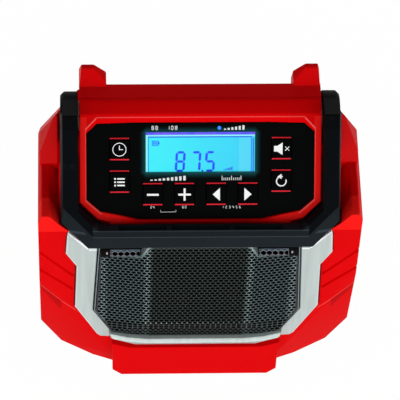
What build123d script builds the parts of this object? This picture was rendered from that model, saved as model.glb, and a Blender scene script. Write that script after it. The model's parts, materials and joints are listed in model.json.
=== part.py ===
from build123d import *
import math
import os

# Cordless jobsite radio, millimetres.
# +Z up, the front looks along -Y, +X is the right-hand side seen from the front.
# The origin is on the ground under the middle of the outer box.

# ---------------------------------------------------------------- clearances
TOUCH_GAP = 0.3          # between soft or curved neighbours
RUN_GAP = 0.05           # radial, pins and screws in their holes
PANEL_GAP = 0.15         # flat inserts in their pockets
BUTTON_GAP = 0.25        # each side of a push button in the fascia
GUIDE_GAP = 0.4          # battery pack in its guides

# ---------------------------------------------------------------- body shells
WALL = 2.6               # moulded wall
UNDERSIDE_Z = 6.0
FRONT_Y = -50.0          # red front face
PARTING_Y = 0.0          # joint between front and rear shell
REAR_Y = 50.0            # rear wall
HEAD_HALF = 62.4         # half width of the control head
ARM_GAP = 0.7            # washer room between the head and a handle arm
ARM_WIDE = 9.1           # width of a handle arm
ARM_SIDE_GAP = 1.0       # between a handle arm and the side rail
RAIL_WIDE = 10.8         # width of a side rail
ARM_IN = HEAD_HALF + ARM_GAP
ARM_OUT = ARM_IN + ARM_WIDE
MID_HALF = ARM_OUT + ARM_SIDE_GAP    # half width under the handle arms
BODY_HALF = MID_HALF + RAIL_WIDE     # half width of the lower body
FAR = 300.0              # longer than the radio, for cutting blocks
SHOULDER_Z = 159.5       # deck under the handle bosses
SIDE_TOP_Z = 150.0       # top of the side rails
GUARD_TOP_Z = 171.0      # crest of the side guards
GUARD_CREST_X = MID_HALF + 2.2
GUARD_Y0, GUARD_Y1 = -16.5, 27.0
RIDGE_Y, RIDGE_Z = 9.2, 184.5        # rear edge of the top band
CROWN_Y, CROWN_Z = -3.0, 185.4       # highest line of the top band
REAR_SLOPE_Z = 118.0     # the rear slope meets the rear wall here

# ---------------------------------------------------------------- control panel
PANEL_TILT = 48.0        # slope of the panel above horizontal
PANEL_FOOT_Y, PANEL_FOOT_Z = -46.0, 140.0    # lower edge of the panel
FRAME_RISE = 1.8         # red frame stands above the black fascia
FRAME_FOOT = -0.3        # lower edge of the red frame along the slope
FRAME_TOP = 56.8         # upper end of the slope
FASCIA_THICK = 2.4
FASCIA_HALF = HEAD_HALF - 3.5
FASCIA_OUTLINE = [(FASCIA_HALF - 27.4, 0.9), (FASCIA_HALF - 16.9, 3.4), (FASCIA_HALF - 7.1, 5.3),
                  (FASCIA_HALF, 11.4), (FASCIA_HALF, 47.0), (FASCIA_HALF - 5.1, 51.4),
                  (FASCIA_HALF - 22.9, 52.0)]
LIP_RISE = (0.0, 0.0, 0.0, 0.0, 2.2, 3.2, 3.2)     # how far each of those points slants up the frame
LEDGE = 4.0              # shelf under the fascia rim
LEDGE_THICK = 2.6
WINDOW_S0, WINDOW_S1 = 25.6, 46.8
LENS_RECESS = 0.25
BUTTON_SIDE = 9.9
BUTTON_PROUD = 1.3
BUTTON_TRAVEL = 0.7
BUTTON_FLANGE = 0.9      # retaining flange each side, behind the fascia
FLANGE_THICK = 1.1
COLUMN_X, COLUMN_S = FASCIA_HALF - 17.1, (38.2, 21.0)      # the four function keys
WINDOW_HALF = COLUMN_X - 13.6
ROW_OUT = COLUMN_X - 17.2
ROW_X, ROW_S = (ROW_OUT / 3, ROW_OUT), 14.2  # the four lower keys
MAT_THICK = 1.6
BOARD_THICK = 1.6
LCD_RIM = 2.2

# ---------------------------------------------------------------- handle
PIVOT_Y, PIVOT_Z = -2.0, 172.5
PIVOT_R = 4.0
ARM_BEVEL = 1.2
ARM_BACK, ARM_SHOULDER, ARM_FRONT = -3.0, 4.8, 11.0   # heights above the panel slope
ARM_KNEE = 58.0
BOSS_R, BOSS_EDGE = 12.6, 2.0
PIVOT_HEAD_R, PIVOT_HEAD_THICK = 6.6, 2.2
PIVOT_HEAD_X = ARM_IN + 4.3          # where the bolt's head sits in the arm
PIVOT_INNER_X = HEAD_HALF - 7.4      # inner end of the bolt
NUT_R, NUT_THICK = 6.4, 3.6
CAP_THICK = 1.0
GRIP_INNER, GRIP_FACE, GRIP_LOW = -2.6, -6.1, -13.4
GRIP_FOOT = -0.9         # inner side of the grip, at its back
GRIP_CORNER = 14.0
GRIP_UNDERCUT = 1.9
GRIP_ROOM = 1.2          # between the folded grip and the grille
GRIP_BACK_N = 3.6        # back of the grip beside the panel, above the red frame
POCKET_DEPTH = 1.6
POCKET_OUT = HEAD_HALF - 16.9
POCKET_EDGES = (-POCKET_OUT, -16.2, 16.2, POCKET_OUT)
POCKETS = [(2.0 - POCKET_OUT, -16.2), (-16.2, 16.2), (16.2, POCKET_OUT - 2.0)]
POCKET_WEB = 1.2

# ---------------------------------------------------------------- front face
TRIM_THICK = 2.0
TRIM_PROUD = 1.4
BEZEL_WIDTH = 1.6
BEZEL_PROUD = 2.0
GRILLE_SHEET = 1.2
GRILLE_BULGE = 6.3       # centre of the grille in front of the red face
GRILLE_FLAT = 27.0       # half width of the flat centre facet
GRILLE_FOLD_Z = 57.0     # lower fold
GRILLE_CROWN_Z = 130.4   # top of the centre facet, behind the grip
MESH_PITCH = 13.0        # between the large hexagonal openings of the grille
MESH_WEB = 2.6           # sheet left between two openings
MESH_MARGIN = 2.4        # sheet left around the openings
BEZEL_OUTLINE = [(27.6, 127.4), (31.2, 123.8), (53.2, 123.8), (55.7, 63.4),
                 (46.7, 43.6), (37.1, 39.8), (26.3, 38.0)]
TRIM_OUTLINE = [(58.3, 127.4), (61.0, 127.4), (68.2, 137.0), (69.0, 134.7), (69.9, 117.7),
                (64.3, 105.6), (65.3, 66.2), (53.5, 38.6), (51.7, 36.6), (46.3, 36.0),
                (46.7, 43.6), (55.7, 63.4), (53.2, 123.8), (58.3, 123.8)]
SILL_DEPTH = 6.0
CHIN_HALF = 45.0
CHIN_DEPTH = 8.0
GROOVE_WIDTH, GROOVE_DEPTH = 1.8, 1.2

# ---------------------------------------------------------------- speaker
SPEAKER_Z = 80.0
SPEAKER_R = 37.5
BAFFLE_THICK = 2.0
FLANGE_RING = 6.5
CONE_R = 28.5
CONE_DEPTH = 12.0
COIL_R = 10.0
MAGNET_R = 21.0
MAGNET_THICK = 10.0

# ---------------------------------------------------------------- battery pack
PACK_HALF = 38.0
PACK_FRONT_Y, PACK_REAR_Y = 13.0, 58.53
PACK_FOOT_Z, PACK_TOP_Z = 9.3, 107.5
BAY_FLOOR_Z = 9.0
PACK_SIDE_GAP = 0.6      # pack to the walls of its bay
GUIDE_Y, GUIDE_SIZE = 30.0, 4.0
CASE_WALL = 2.4
CELL_R = 9.2
LATCH_HALF, LATCH_HEIGHT = 9.0, 9.0
LATCH_FLANGE = 1.4       # rim of the release key behind the case wall

# ---------------------------------------------------------------- small hardware
SCREW_R = 1.6
HEAD_R, HEAD_THICK = 3.0, 2.0
BOSS_WALL = 2.4
SMALL_R, SMALL_HEAD_R, SMALL_HEAD = 1.2, 2.2, 1.4     # small self-tapping screws
FOOT_R = 8.0
FOOT_SIDE_INSET, FOOT_END_INSET = 40.0, 14.0
PORT_X, PORT_Z = BODY_HALF - 22.0, 84.0
PORT_HALF, PORT_TALL = 13.5, 36.0
FLAP_THICK = 2.0
FLAP_TOP_Z = PORT_Z + 4.0     # upper edge of the flap, under the two open jacks
FLAP_PIN_R = 0.5


# ================================================================ frames and helpers
COS_T = math.cos(math.radians(PANEL_TILT))
SIN_T = math.sin(math.radians(PANEL_TILT))
SLOPE = Plane(origin=(0, PANEL_FOOT_Y, PANEL_FOOT_Z), x_dir=(1, 0, 0), z_dir=(0, -SIN_T, COS_T))


def slope_yz(s, n):
    """Y and Z of a point s up the panel slope and n above it."""
    return (PANEL_FOOT_Y + s * COS_T - n * SIN_T, PANEL_FOOT_Z + s * SIN_T + n * COS_T)


def slope_sn(y, z):
    """The slope coordinates of a point in the side view."""
    dy, dz = y - PANEL_FOOT_Y, z - PANEL_FOOT_Z
    return (dy * COS_T + dz * SIN_T, dz * COS_T - dy * SIN_T)


def outline(points, inset=0.0):
    """A flat polygon, drawn in by an inset (or out by a negative one)."""
    flat = make_face(Polyline(*points, close=True))
    if inset:
        flat = offset(flat, amount=-inset, kind=Kind.INTERSECTION)
    return flat


def both_sides(points):
    """Closes a right-hand half outline by its mirror image."""
    return points + [(-x, z) for x, z in reversed(points)]


def side_prism(points, x0, x1, inset=0.0):
    """A polygon in the Y-Z side view, from x0 to x1."""
    plane = Plane(origin=(x0, 0, 0), x_dir=(0, 1, 0), z_dir=(1, 0, 0))
    return extrude(plane * outline(points, inset), x1 - x0)


def front_prism(points, y0, y1, inset=0.0):
    """A polygon in the X-Z front view, from y0 back to y1."""
    plane = Plane(origin=(0, y1, 0), x_dir=(1, 0, 0), z_dir=(0, -1, 0))
    return extrude(plane * outline(points, inset), y1 - y0)


def slope_prism(points, n0, n1, inset=0.0):
    """A polygon on the panel slope, from height n0 to n1."""
    return extrude(SLOPE.offset(n0) * outline(points, inset), n1 - n0)


def slope_side_prism(points, x0, x1):
    """A polygon in the side view of the slope (s, n), from x0 to x1."""
    plane = Plane(origin=(x0, PANEL_FOOT_Y, PANEL_FOOT_Z), x_dir=(0, COS_T, SIN_T), z_dir=(1, 0, 0))
    return extrude(plane * outline(points), x1 - x0)


def block(x0, x1, y0, y1, z0, z1):
    """A box between two corners."""
    return Pos((x0 + x1) / 2, (y0 + y1) / 2, (z0 + z1) / 2) * Box(x1 - x0, y1 - y0, z1 - z0)


def slope_block(x0, x1, s0, s1, n0, n1):
    """A box between two corners on the slope."""
    middle = Pos((x0 + x1) / 2, (s0 + s1) / 2, (n0 + n1) / 2)
    return SLOPE * middle * Box(x1 - x0, s1 - s0, n1 - n0)


def rod_y(x, z, radius, y0, y1):
    """A round bar along Y."""
    return Pos(x, (y0 + y1) / 2, z) * Rot(90, 0, 0) * Cylinder(radius, y1 - y0)


def rod_x(y, z, radius, x0, x1):
    """A round bar along X."""
    return Pos((x0 + x1) / 2, y, z) * Rot(0, 90, 0) * Cylinder(radius, x1 - x0)


def rod_z(x, y, radius, z0, z1):
    """A round bar along Z."""
    return Pos(x, y, (z0 + z1) / 2) * Cylinder(radius, z1 - z0)


def slope_rod(x, s, radius, n0, n1):
    """A round bar at right angles to the slope."""
    return SLOPE * Pos(x, s, (n0 + n1) / 2) * Cylinder(radius, n1 - n0)


def turned(profile, z):
    """A solid of revolution about the speaker axis; the profile is (radius, y)."""
    flat = Plane.XY * make_face(Polyline(*profile, close=True))
    return Pos(0, 0, z) * revolve(flat, Axis.Y)


def mirrored(shape):
    """The left-hand twin of a right-hand shape."""
    return mirror(shape, about=Plane.YZ)


def pair(shape):
    """A right-hand shape together with its left-hand twin."""
    return shape + mirrored(shape)


def joined(shapes):
    """Several shapes as one."""
    total = None
    for shape in shapes:
        total = shape if total is None else total + shape
    return total


def save(name, shape):
    """Writes one node."""
    export_step(Compound(label=name, children=[*shape.solids()]), f"parts/{name}.step")


# ================================================================ body envelope
FASCIA = both_sides(FASCIA_OUTLINE)
FRAME_START = slope_yz(FRAME_FOOT, FRAME_RISE)
FRAME_END = slope_yz(FRAME_TOP, FRAME_RISE)
REAR_SLOPE = (REAR_SLOPE_Z - RIDGE_Z) / (REAR_Y - RIDGE_Y)
ARM_CLEAR = 1.5


def deck_z(y):
    """Height of the deck that runs under the handle arms."""
    n = ARM_BACK - ARM_CLEAR
    foot_y, foot_z = slope_yz(0.0, n)
    return foot_z + (y - foot_y) * math.tan(math.radians(PANEL_TILT))


def deck_y(z):
    """Where that deck reaches a height."""
    n = ARM_BACK - ARM_CLEAR
    foot_y, foot_z = slope_yz(0.0, n)
    return foot_y + (z - foot_z) / math.tan(math.radians(PANEL_TILT))


def rear_y(z):
    """Where the rear slope reaches a height."""
    return RIDGE_Y + (z - RIDGE_Z) / REAR_SLOPE


HEAD_PROFILE = [(FRONT_Y, 100.0), (FRONT_Y, deck_z(FRONT_Y)), FRAME_START, FRAME_END,
                (CROWN_Y, CROWN_Z), (RIDGE_Y, RIDGE_Z), (REAR_Y, REAR_SLOPE_Z), (REAR_Y, 100.0)]
MID_PROFILE = [(FRONT_Y, UNDERSIDE_Z), (FRONT_Y, deck_z(FRONT_Y)), (deck_y(SHOULDER_Z), SHOULDER_Z),
               (rear_y(SHOULDER_Z), SHOULDER_Z), (REAR_Y, REAR_SLOPE_Z), (REAR_Y, UNDERSIDE_Z)]
MID_FRONT = both_sides([(MID_HALF - 17.2, UNDERSIDE_Z), (MID_HALF, 13.0), (MID_HALF, 200.0)])
SIDE_FRONT = [(50.0, 40.0), (50.0, UNDERSIDE_Z + 6.0), (MID_HALF, 13.0), (BODY_HALF, 34.0),
              (BODY_HALF, SIDE_TOP_Z - 5.0), (BODY_HALF - 2.0, SIDE_TOP_Z), (BODY_HALF - 6.0, SIDE_TOP_Z),
              (MID_HALF, SIDE_TOP_Z - 7.0), (MID_HALF, 110.0), (50.0, 110.0)]
SIDE_PROFILE = [(FRONT_Y, UNDERSIDE_Z), (FRONT_Y, SIDE_TOP_Z + 1.0),
                (rear_y(SIDE_TOP_Z + 1.0), SIDE_TOP_Z + 1.0),
                (REAR_Y, REAR_SLOPE_Z), (REAR_Y, UNDERSIDE_Z)]
FRAME_CORNER = [(HEAD_HALF - 17.4, -0.7), (HEAD_HALF - 8.9, 1.7), (HEAD_HALF + 1.0, 11.4),
                (FAR, 11.4), (FAR, -40.0), (HEAD_HALF - 17.4, -40.0)]


def frame_corner_cut(inset):
    """The lower corners of the red frame, cut down to the deck for the handle."""
    return pair(slope_prism(FRAME_CORNER, ARM_BACK - ARM_CLEAR - inset, 60.0, -inset))


REAR_FACET = (64.0, 23.0, SHOULDER_Z)     # a point of the facet at each rear upper corner
REAR_FACET_NORMAL = (0.7315, 0.5378, 0.4191)


def rear_facet(inset):
    """The wedge cut off the right rear upper corner, outside the head."""
    plane = Plane(origin=REAR_FACET, z_dir=REAR_FACET_NORMAL)
    return plane * Pos(0, 0, FAR / 2 - inset) * Box(FAR, FAR, FAR)


def envelope(inset):
    """The outer form of the body, or its hollow when drawn in by the wall."""
    head = side_prism(HEAD_PROFILE, -HEAD_HALF + inset, HEAD_HALF - inset, inset)
    head -= frame_corner_cut(inset)
    middle = side_prism(MID_PROFILE, -MID_HALF + inset, MID_HALF - inset, inset)
    middle &= front_prism(MID_FRONT, FRONT_Y, REAR_Y, inset)
    side = front_prism(SIDE_FRONT, FRONT_Y + inset, REAR_Y - inset, inset)
    side &= side_prism(SIDE_PROFILE, 0, BODY_HALF, inset)
    return head + (middle - pair(rear_facet(inset))) + pair(side - rear_facet(inset))


# fold line of the lower front corner, and the degrees that it leans back
FACET_FOOT, FACET_HEAD = (BODY_HALF - 32.0, 30.5), (BODY_HALF - 11.0, 72.0)
FACET_LEAN = 22.0


def corner_facet(inset):
    """The wedge cut off the lower right front corner."""
    run, rise = FACET_HEAD[0] - FACET_FOOT[0], FACET_HEAD[1] - FACET_FOOT[1]
    length = math.hypot(run, rise)
    lean = math.radians(FACET_LEAN)
    normal = (rise / length * math.sin(lean), -math.cos(lean), -run / length * math.sin(lean))
    plane = Plane(origin=(FACET_FOOT[0], FRONT_Y, FACET_FOOT[1]), x_dir=(run, 0, rise), z_dir=normal)
    return plane * Pos(0, 0, FAR / 2 - inset) * Box(FAR, FAR, FAR)


def body_form(inset):
    """The envelope with its lower front corners cut."""
    return envelope(inset) - pair(corner_facet(inset))


OUTER = body_form(0.0)
SHELL = OUTER - body_form(WALL)
FRONT_HALF = block(-BODY_HALF, BODY_HALF, 2 * FRONT_Y, PARTING_Y, 0, FAR)
REAR_HALF = block(-BODY_HALF, BODY_HALF, PARTING_Y, 2 * REAR_Y, 0, FAR)

# ================================================================ handle
PIVOT_S, PIVOT_N = slope_sn(PIVOT_Y, PIVOT_Z)
GRIP_SECTION = [(GRIP_INNER, ARM_BACK + 2.0), (GRIP_INNER, ARM_FRONT), (GRIP_FACE, ARM_FRONT),
                (GRIP_LOW, ARM_SHOULDER), (GRIP_LOW + GRIP_UNDERCUT, ARM_BACK)]


def handle_outline(out, low, bevel, inner):
    """The U of the folded handle on the slope, with bevelled lower corners."""
    corner = out - bevel
    inner_corner = ARM_IN - GRIP_CORNER * 0.73
    half = [(corner, low), (out, low + bevel), (out, ARM_KNEE), (ARM_IN, ARM_KNEE),
            (ARM_IN, inner + GRIP_CORNER * 0.73), (inner_corner, inner)]
    return half + [(-x, s) for x, s in reversed(half)]


def handle_pockets():
    """Three long hollows in the side of the grip that faces the panel."""
    return joined(slope_block(left + POCKET_WEB, right - POCKET_WEB, GRIP_INNER - POCKET_DEPTH,
                              GRIP_FOOT + 1.0, GRIP_BACK_N + 1.2, ARM_FRONT - 1.4)
                  for left, right in POCKETS)


def handle():
    """The bail handle: a U of bevelled section with two pivot eyes, folded over the panel."""
    low_face = SLOPE.offset(ARM_SHOULDER) * outline(handle_outline(ARM_OUT, GRIP_LOW, GRIP_CORNER, GRIP_FOOT))
    high_face = SLOPE.offset(ARM_FRONT) * outline(
        handle_outline(ARM_OUT - ARM_BEVEL, GRIP_FACE, GRIP_CORNER + 1.6, GRIP_INNER))
    bail = extrude(low_face, -(ARM_SHOULDER - ARM_BACK), dir=SLOPE.z_dir)
    bail += loft([low_face, high_face], ruled=True)
    foot = GRIP_LOW + GRIP_UNDERCUT
    undercut = [(GRIP_LOW - 1.0, ARM_BACK - 1.0), (GRIP_LOW, ARM_SHOULDER), (foot, ARM_BACK),
                (foot + 1.0, ARM_BACK - 1.0)]
    bail -= slope_side_prism(undercut, -ARM_OUT, ARM_OUT)
    relief = [(foot, ARM_BACK), (GRIP_FOOT + 1.0, GRIP_BACK_N), (GRIP_FOOT + 1.0, ARM_BACK - 1.0),
              (foot, ARM_BACK - 1.0)]
    reach = FRAME_CORNER[0][0] + 6.0
    bail -= slope_side_prism(relief, -reach, reach)
    back = [(ARM_KNEE - 20.0, ARM_BACK), (ARM_KNEE - 20.0, ARM_FRONT), (ARM_KNEE, ARM_FRONT),
            (PIVOT_S + BOSS_R - 0.4, PIVOT_N + 2.0), (PIVOT_S, PIVOT_N),
            (PIVOT_S - BOSS_R + 0.8, PIVOT_N - 4.0)]
    arm = slope_side_prism(back, ARM_IN, ARM_OUT - ARM_BEVEL)
    arm += rod_x(PIVOT_Y, PIVOT_Z, BOSS_R, ARM_IN, ARM_OUT - BOSS_EDGE)
    rim = Cone(BOSS_R, BOSS_R - BOSS_EDGE, BOSS_EDGE)
    arm += Pos(ARM_OUT - BOSS_EDGE / 2, PIVOT_Y, PIVOT_Z) * Rot(0, 90, 0) * rim
    bail += pair(arm)
    bore = rod_x(PIVOT_Y, PIVOT_Z, PIVOT_R + RUN_GAP, ARM_IN - 1, ARM_OUT + 1)
    seat = rod_x(PIVOT_Y, PIVOT_Z, PIVOT_HEAD_R + TOUCH_GAP, PIVOT_HEAD_X, ARM_OUT + 1)
    return bail - pair(bore + seat) - handle_pockets()


def pivot_bolts():
    """Two shoulder bolts that the handle turns on."""
    shank = rod_x(PIVOT_Y, PIVOT_Z, PIVOT_R, PIVOT_INNER_X, PIVOT_HEAD_X)
    head = rod_x(PIVOT_Y, PIVOT_Z, PIVOT_HEAD_R, PIVOT_HEAD_X, PIVOT_HEAD_X + PIVOT_HEAD_THICK)
    slot = block(PIVOT_HEAD_X + 1.0, PIVOT_HEAD_X + 9, PIVOT_Y - 0.8, PIVOT_Y + 0.8,
                 PIVOT_Z - PIVOT_HEAD_R, PIVOT_Z + PIVOT_HEAD_R)
    return pair(shank + head - slot)


def pivot_nuts():
    """Hexagon nuts on the inner ends of the bolts."""
    origin = (HEAD_HALF - WALL - NUT_THICK, PIVOT_Y, PIVOT_Z)
    plane = Plane(origin=origin, x_dir=(0, 1, 0), z_dir=(1, 0, 0))
    nut = extrude(plane * RegularPolygon(NUT_R, 6), NUT_THICK)
    return pair(nut - rod_x(PIVOT_Y, PIVOT_Z, PIVOT_R + RUN_GAP, PIVOT_INNER_X - 5, HEAD_HALF))


def pivot_washers():
    """Thin washers between the head and the handle arms."""
    ring = rod_x(PIVOT_Y, PIVOT_Z, PIVOT_HEAD_R + 1.0, HEAD_HALF, ARM_IN - RUN_GAP)
    return pair(ring - rod_x(PIVOT_Y, PIVOT_Z, PIVOT_R + RUN_GAP, HEAD_HALF - 1, ARM_IN + 1))


def pivot_caps():
    """Round caps pressed over the bolt heads."""
    inner = PIVOT_HEAD_X + PIVOT_HEAD_THICK + TOUCH_GAP
    return pair(rod_x(PIVOT_Y, PIVOT_Z, PIVOT_HEAD_R + TOUCH_GAP - RUN_GAP, inner, inner + CAP_THICK))


# ================================================================ front housing
# x, z and the front end of each boss
HOUSING_SCREWS = [(MID_HALF - 3.2, 26.0, FRONT_Y), (MID_HALF - 3.2, 112.0, FRONT_Y),
                  (HEAD_HALF - 22.4, 178.0, -16.0)]
SCREW_HEAD_Y = 8.0
SCREW_TIP_Y = -8.0
RIM = 2.5                # thick edge of the shell around the fascia
TOOTH_HALF, TOOTH_REACH = 1.4, 0.8
CHEEK = [(MID_HALF + 0.5, 118.0), (MID_HALF + 0.5, 143.4), (68.6, 137.4), (61.0, 127.4),
         (58.0, 127.4), (58.0, 118.0)]
CHEEK_BACK_Y = -48.3
CHIN = both_sides([(36.0, 34.9), (45.6, 39.3), (CHIN_HALF, 34.0), (CHIN_HALF, 12.0),
                   (CHIN_HALF - 5.0, UNDERSIDE_Z + 1.0)])
SILL = both_sides([(26.3, 38.0), (37.1, 39.8), (46.7, 43.6), (46.0, 39.6), (36.0, 35.0)])
GROOVES = [((BODY_HALF - 18.3, 94.6), (BODY_HALF - 6.8, 109.4)),
           ((BODY_HALF - 17.8, 81.8), (BODY_HALF - 6.8, 94.0))]


def grooves():
    """Two slanting lines pressed into each side of the front face."""
    bars = []
    for (x0, z0), (x1, z1) in GROOVES:
        length = math.hypot(x1 - x0, z1 - z0)
        angle = math.degrees(math.atan2(z1 - z0, x1 - x0))
        bar = Pos(length, 0, 0) * Box(2 * length, 2 * GROOVE_DEPTH, GROOVE_WIDTH)
        bars.append(Pos(x0, FRONT_Y, z0) * Rot(0, -angle, 0) * bar)
    return pair(joined(bars))


def housing_bosses(y1):
    """Round posts that take the screws between the two shells, back to y1."""
    posts = joined(rod_y(x, z, SCREW_R + BOSS_WALL, y0, y1) for x, z, y0 in HOUSING_SCREWS)
    return pair(posts) & OUTER


def screw_bars(radius, y0, y1):
    """Round bars on the axes of the housing screws."""
    return pair(joined(rod_y(x, z, radius, y0, y1) for x, z, _ in HOUSING_SCREWS))


def panel_seat():
    """The thick frame around the fascia, with its ledge."""
    seat = slope_prism(FASCIA, -FASCIA_THICK - LEDGE_THICK, FRAME_RISE, -RIM) & OUTER
    for x, s in CONTROL_SCREWS:
        seat += slope_rod(x, s, CONTROL_POST_R, BOARD_TOP, -FASCIA_THICK - LEDGE_THICK)
    return seat


def frame_lip():
    """The slanting inner side of the frame, above and beside the fascia."""
    low = [(x, s - 0.1 * rise) for (x, s), rise in zip(FASCIA_OUTLINE, LIP_RISE)]
    high = [(x, s + 1.1 * rise) for (x, s), rise in zip(FASCIA_OUTLINE, LIP_RISE)]
    return loft([SLOPE.offset(-0.1 * FRAME_RISE) * outline(both_sides(low)),
                 SLOPE.offset(1.1 * FRAME_RISE) * outline(both_sides(high))], ruled=True)


def grip_teeth():
    """Four small teeth of the frame that meet the folded grip."""
    return joined(slope_block(x - TOOTH_HALF, x + TOOTH_HALF, FRAME_FOOT - TOOTH_REACH,
                              FRAME_FOOT + 0.8, -1.0, FRAME_RISE - 0.2) for x in POCKET_EDGES)


def front_housing():
    """The front shell with its panel frame, chin, cheeks, bosses and seats."""
    shell = SHELL & FRONT_HALF
    shell += pair(front_prism(CHEEK, FRONT_Y, CHEEK_BACK_Y))
    shell += front_prism(CHIN, FRONT_Y - CHIN_DEPTH, FRONT_Y + WALL)
    shell -= front_prism(CHIN, FRONT_Y - CHIN_DEPTH + WALL, FRONT_Y + WALL + 1.0, WALL)
    shell += panel_seat() + grip_teeth()
    shell += housing_bosses(PARTING_Y)
    shell += ferrite_clips()
    shell -= slope_prism(FASCIA, -FASCIA_THICK, 20.0) + frame_lip()
    shell -= slope_prism(FASCIA, -FASCIA_THICK - LEDGE_THICK - 0.5, 0.0, LEDGE)
    for x, s in CONTROL_SCREWS:
        shell -= slope_rod(x, s, SMALL_R + RUN_GAP, BOARD_TOP - 1.0, -FASCIA_THICK - 0.6)
    shell -= front_prism(both_sides(BEZEL_OUTLINE), FRONT_Y - 1.0, FRONT_Y + WALL + 0.1)
    trim_seat = front_prism(TRIM_OUTLINE, FRONT_Y - 1.0, FRONT_Y + TRIM_THICK - TRIM_PROUD, -PANEL_GAP)
    shell -= pair(trim_seat)
    shell -= grooves()
    shell -= screw_bars(SCREW_R + RUN_GAP, SCREW_TIP_Y - 1.0, PARTING_Y + 1.0)
    shell -= pair(rod_x(PIVOT_Y, PIVOT_Z, PIVOT_R + RUN_GAP, HEAD_HALF - 6, HEAD_HALF + 1))
    return shell


# ================================================================ rear housing
BAY_HALF = PACK_HALF + PACK_SIDE_GAP
BAY_WALL_Y = PACK_FRONT_Y - PACK_SIDE_GAP
EAR_IN, EAR_FLAT = HEAD_HALF - 14.1, HEAD_HALF - 7.9
EAR_BACK_Y, EAR_TOP_Z = 16.0, 190.4
EAR_EDGE_NORMAL = (-0.44, 0.82, 0.37)     # of the facet at the inner rear corner of an ear
EAR = [(RIDGE_Y - 4.0, RIDGE_Z - 6.0), (RIDGE_Y - 1.5, RIDGE_Z + 0.2), (EAR_BACK_Y - 1.0, EAR_TOP_Z),
       (EAR_BACK_Y + 1.6, EAR_TOP_Z), (EAR_BACK_Y + 8.0, EAR_TOP_Z - 14.0),
       (EAR_BACK_Y + 4.0, RIDGE_Z - 14.0)]
PORT_FLOOR_Y = REAR_Y - 6.0
MAIN_Y = 4.0
MAIN_HALF, MAIN_Z0, MAIN_Z1 = 38.0, 108.0, 160.0
MAIN_POSTS = [(33.0, 113.0), (33.0, 155.0)]
POST_R = 3.0


def ears():
    """Raised corners behind the top band."""
    ear = side_prism(EAR, EAR_IN, HEAD_HALF)
    slant = [(EAR_IN - 1.0, EAR_TOP_Z - 5.0), (EAR_FLAT, EAR_TOP_Z + 0.1),
             (EAR_IN - 1.0, EAR_TOP_Z + 4.0)]
    draft = [(HEAD_HALF + 1.0, RIDGE_Z - 2.0), (HEAD_HALF, RIDGE_Z - 2.0),
             (HEAD_HALF - 1.3, EAR_TOP_Z + 1.0), (HEAD_HALF + 1.0, EAR_TOP_Z + 1.0)]
    ear -= front_prism(slant, 0.0, REAR_Y)
    ear -= front_prism(draft, 0.0, REAR_Y)
    edge = Plane(origin=(EAR_FLAT + 0.4, EAR_BACK_Y + 1.6, EAR_TOP_Z), z_dir=EAR_EDGE_NORMAL)
    ear -= edge * Pos(0, 0, FAR / 2) * Box(FAR, FAR, FAR)
    return pair(ear)


def battery_bay():
    """The walls of the recess that takes the battery pack."""
    outer = BAY_HALF + WALL
    return block(-outer, outer, BAY_WALL_Y - WALL, 2 * REAR_Y, 0, FAR) & OUTER


def bay_guides():
    """The two rails that the pack's grooves run on."""
    rail = block(BAY_HALF - GUIDE_REACH, BAY_HALF + 0.5, GUIDE_Y - GUIDE_SIZE / 2,
                 GUIDE_Y + GUIDE_SIZE / 2, GUIDE_Z0, GUIDE_Z1)
    return pair(rail)


def port_surround():
    """The thick walls around the port recess."""
    wide, tall = PORT_HALF + 2.0, PORT_TALL / 2 + 2.0
    return block(PORT_X - wide, PORT_X + wide, PORT_FLOOR_Y - WALL, REAR_Y,
                 PORT_Z - tall, PORT_Z + tall) & OUTER


def port_hollow():
    """The recess itself, less the cross rib that the closed flap rests on."""
    half = PORT_HALF + TOUCH_GAP
    hollow = block(PORT_X - half, PORT_X + half, PORT_FLOOR_Y, REAR_Y + 1,
                   PORT_Z - PORT_TALL / 2 - 0.8, PORT_Z + PORT_TALL / 2 + TOUCH_GAP)
    rib = block(PORT_X - half - 1, PORT_X + half + 1, PORT_FLOOR_Y - 1, REAR_Y - FLAP_THICK - 0.1,
                FLAP_TOP_Z - FLAP_RIB, FLAP_TOP_Z)
    return hollow - rib


def socket_openings():
    """Holes in the recess floor for the two jacks and the USB socket."""
    back, front = PORT_FLOOR_Y - WALL - 1, PORT_FLOOR_Y + 1
    rounds = joined(rod_y(x, JACK_Z, radius + 0.1, back, front) for x, radius, _ in JACKS)
    half, tall = USB_HALF + 0.1, USB_TALL / 2 + 0.1
    return rounds + block(PORT_X - half, PORT_X + half, back, front, USB_Z - tall, USB_Z + tall)


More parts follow.
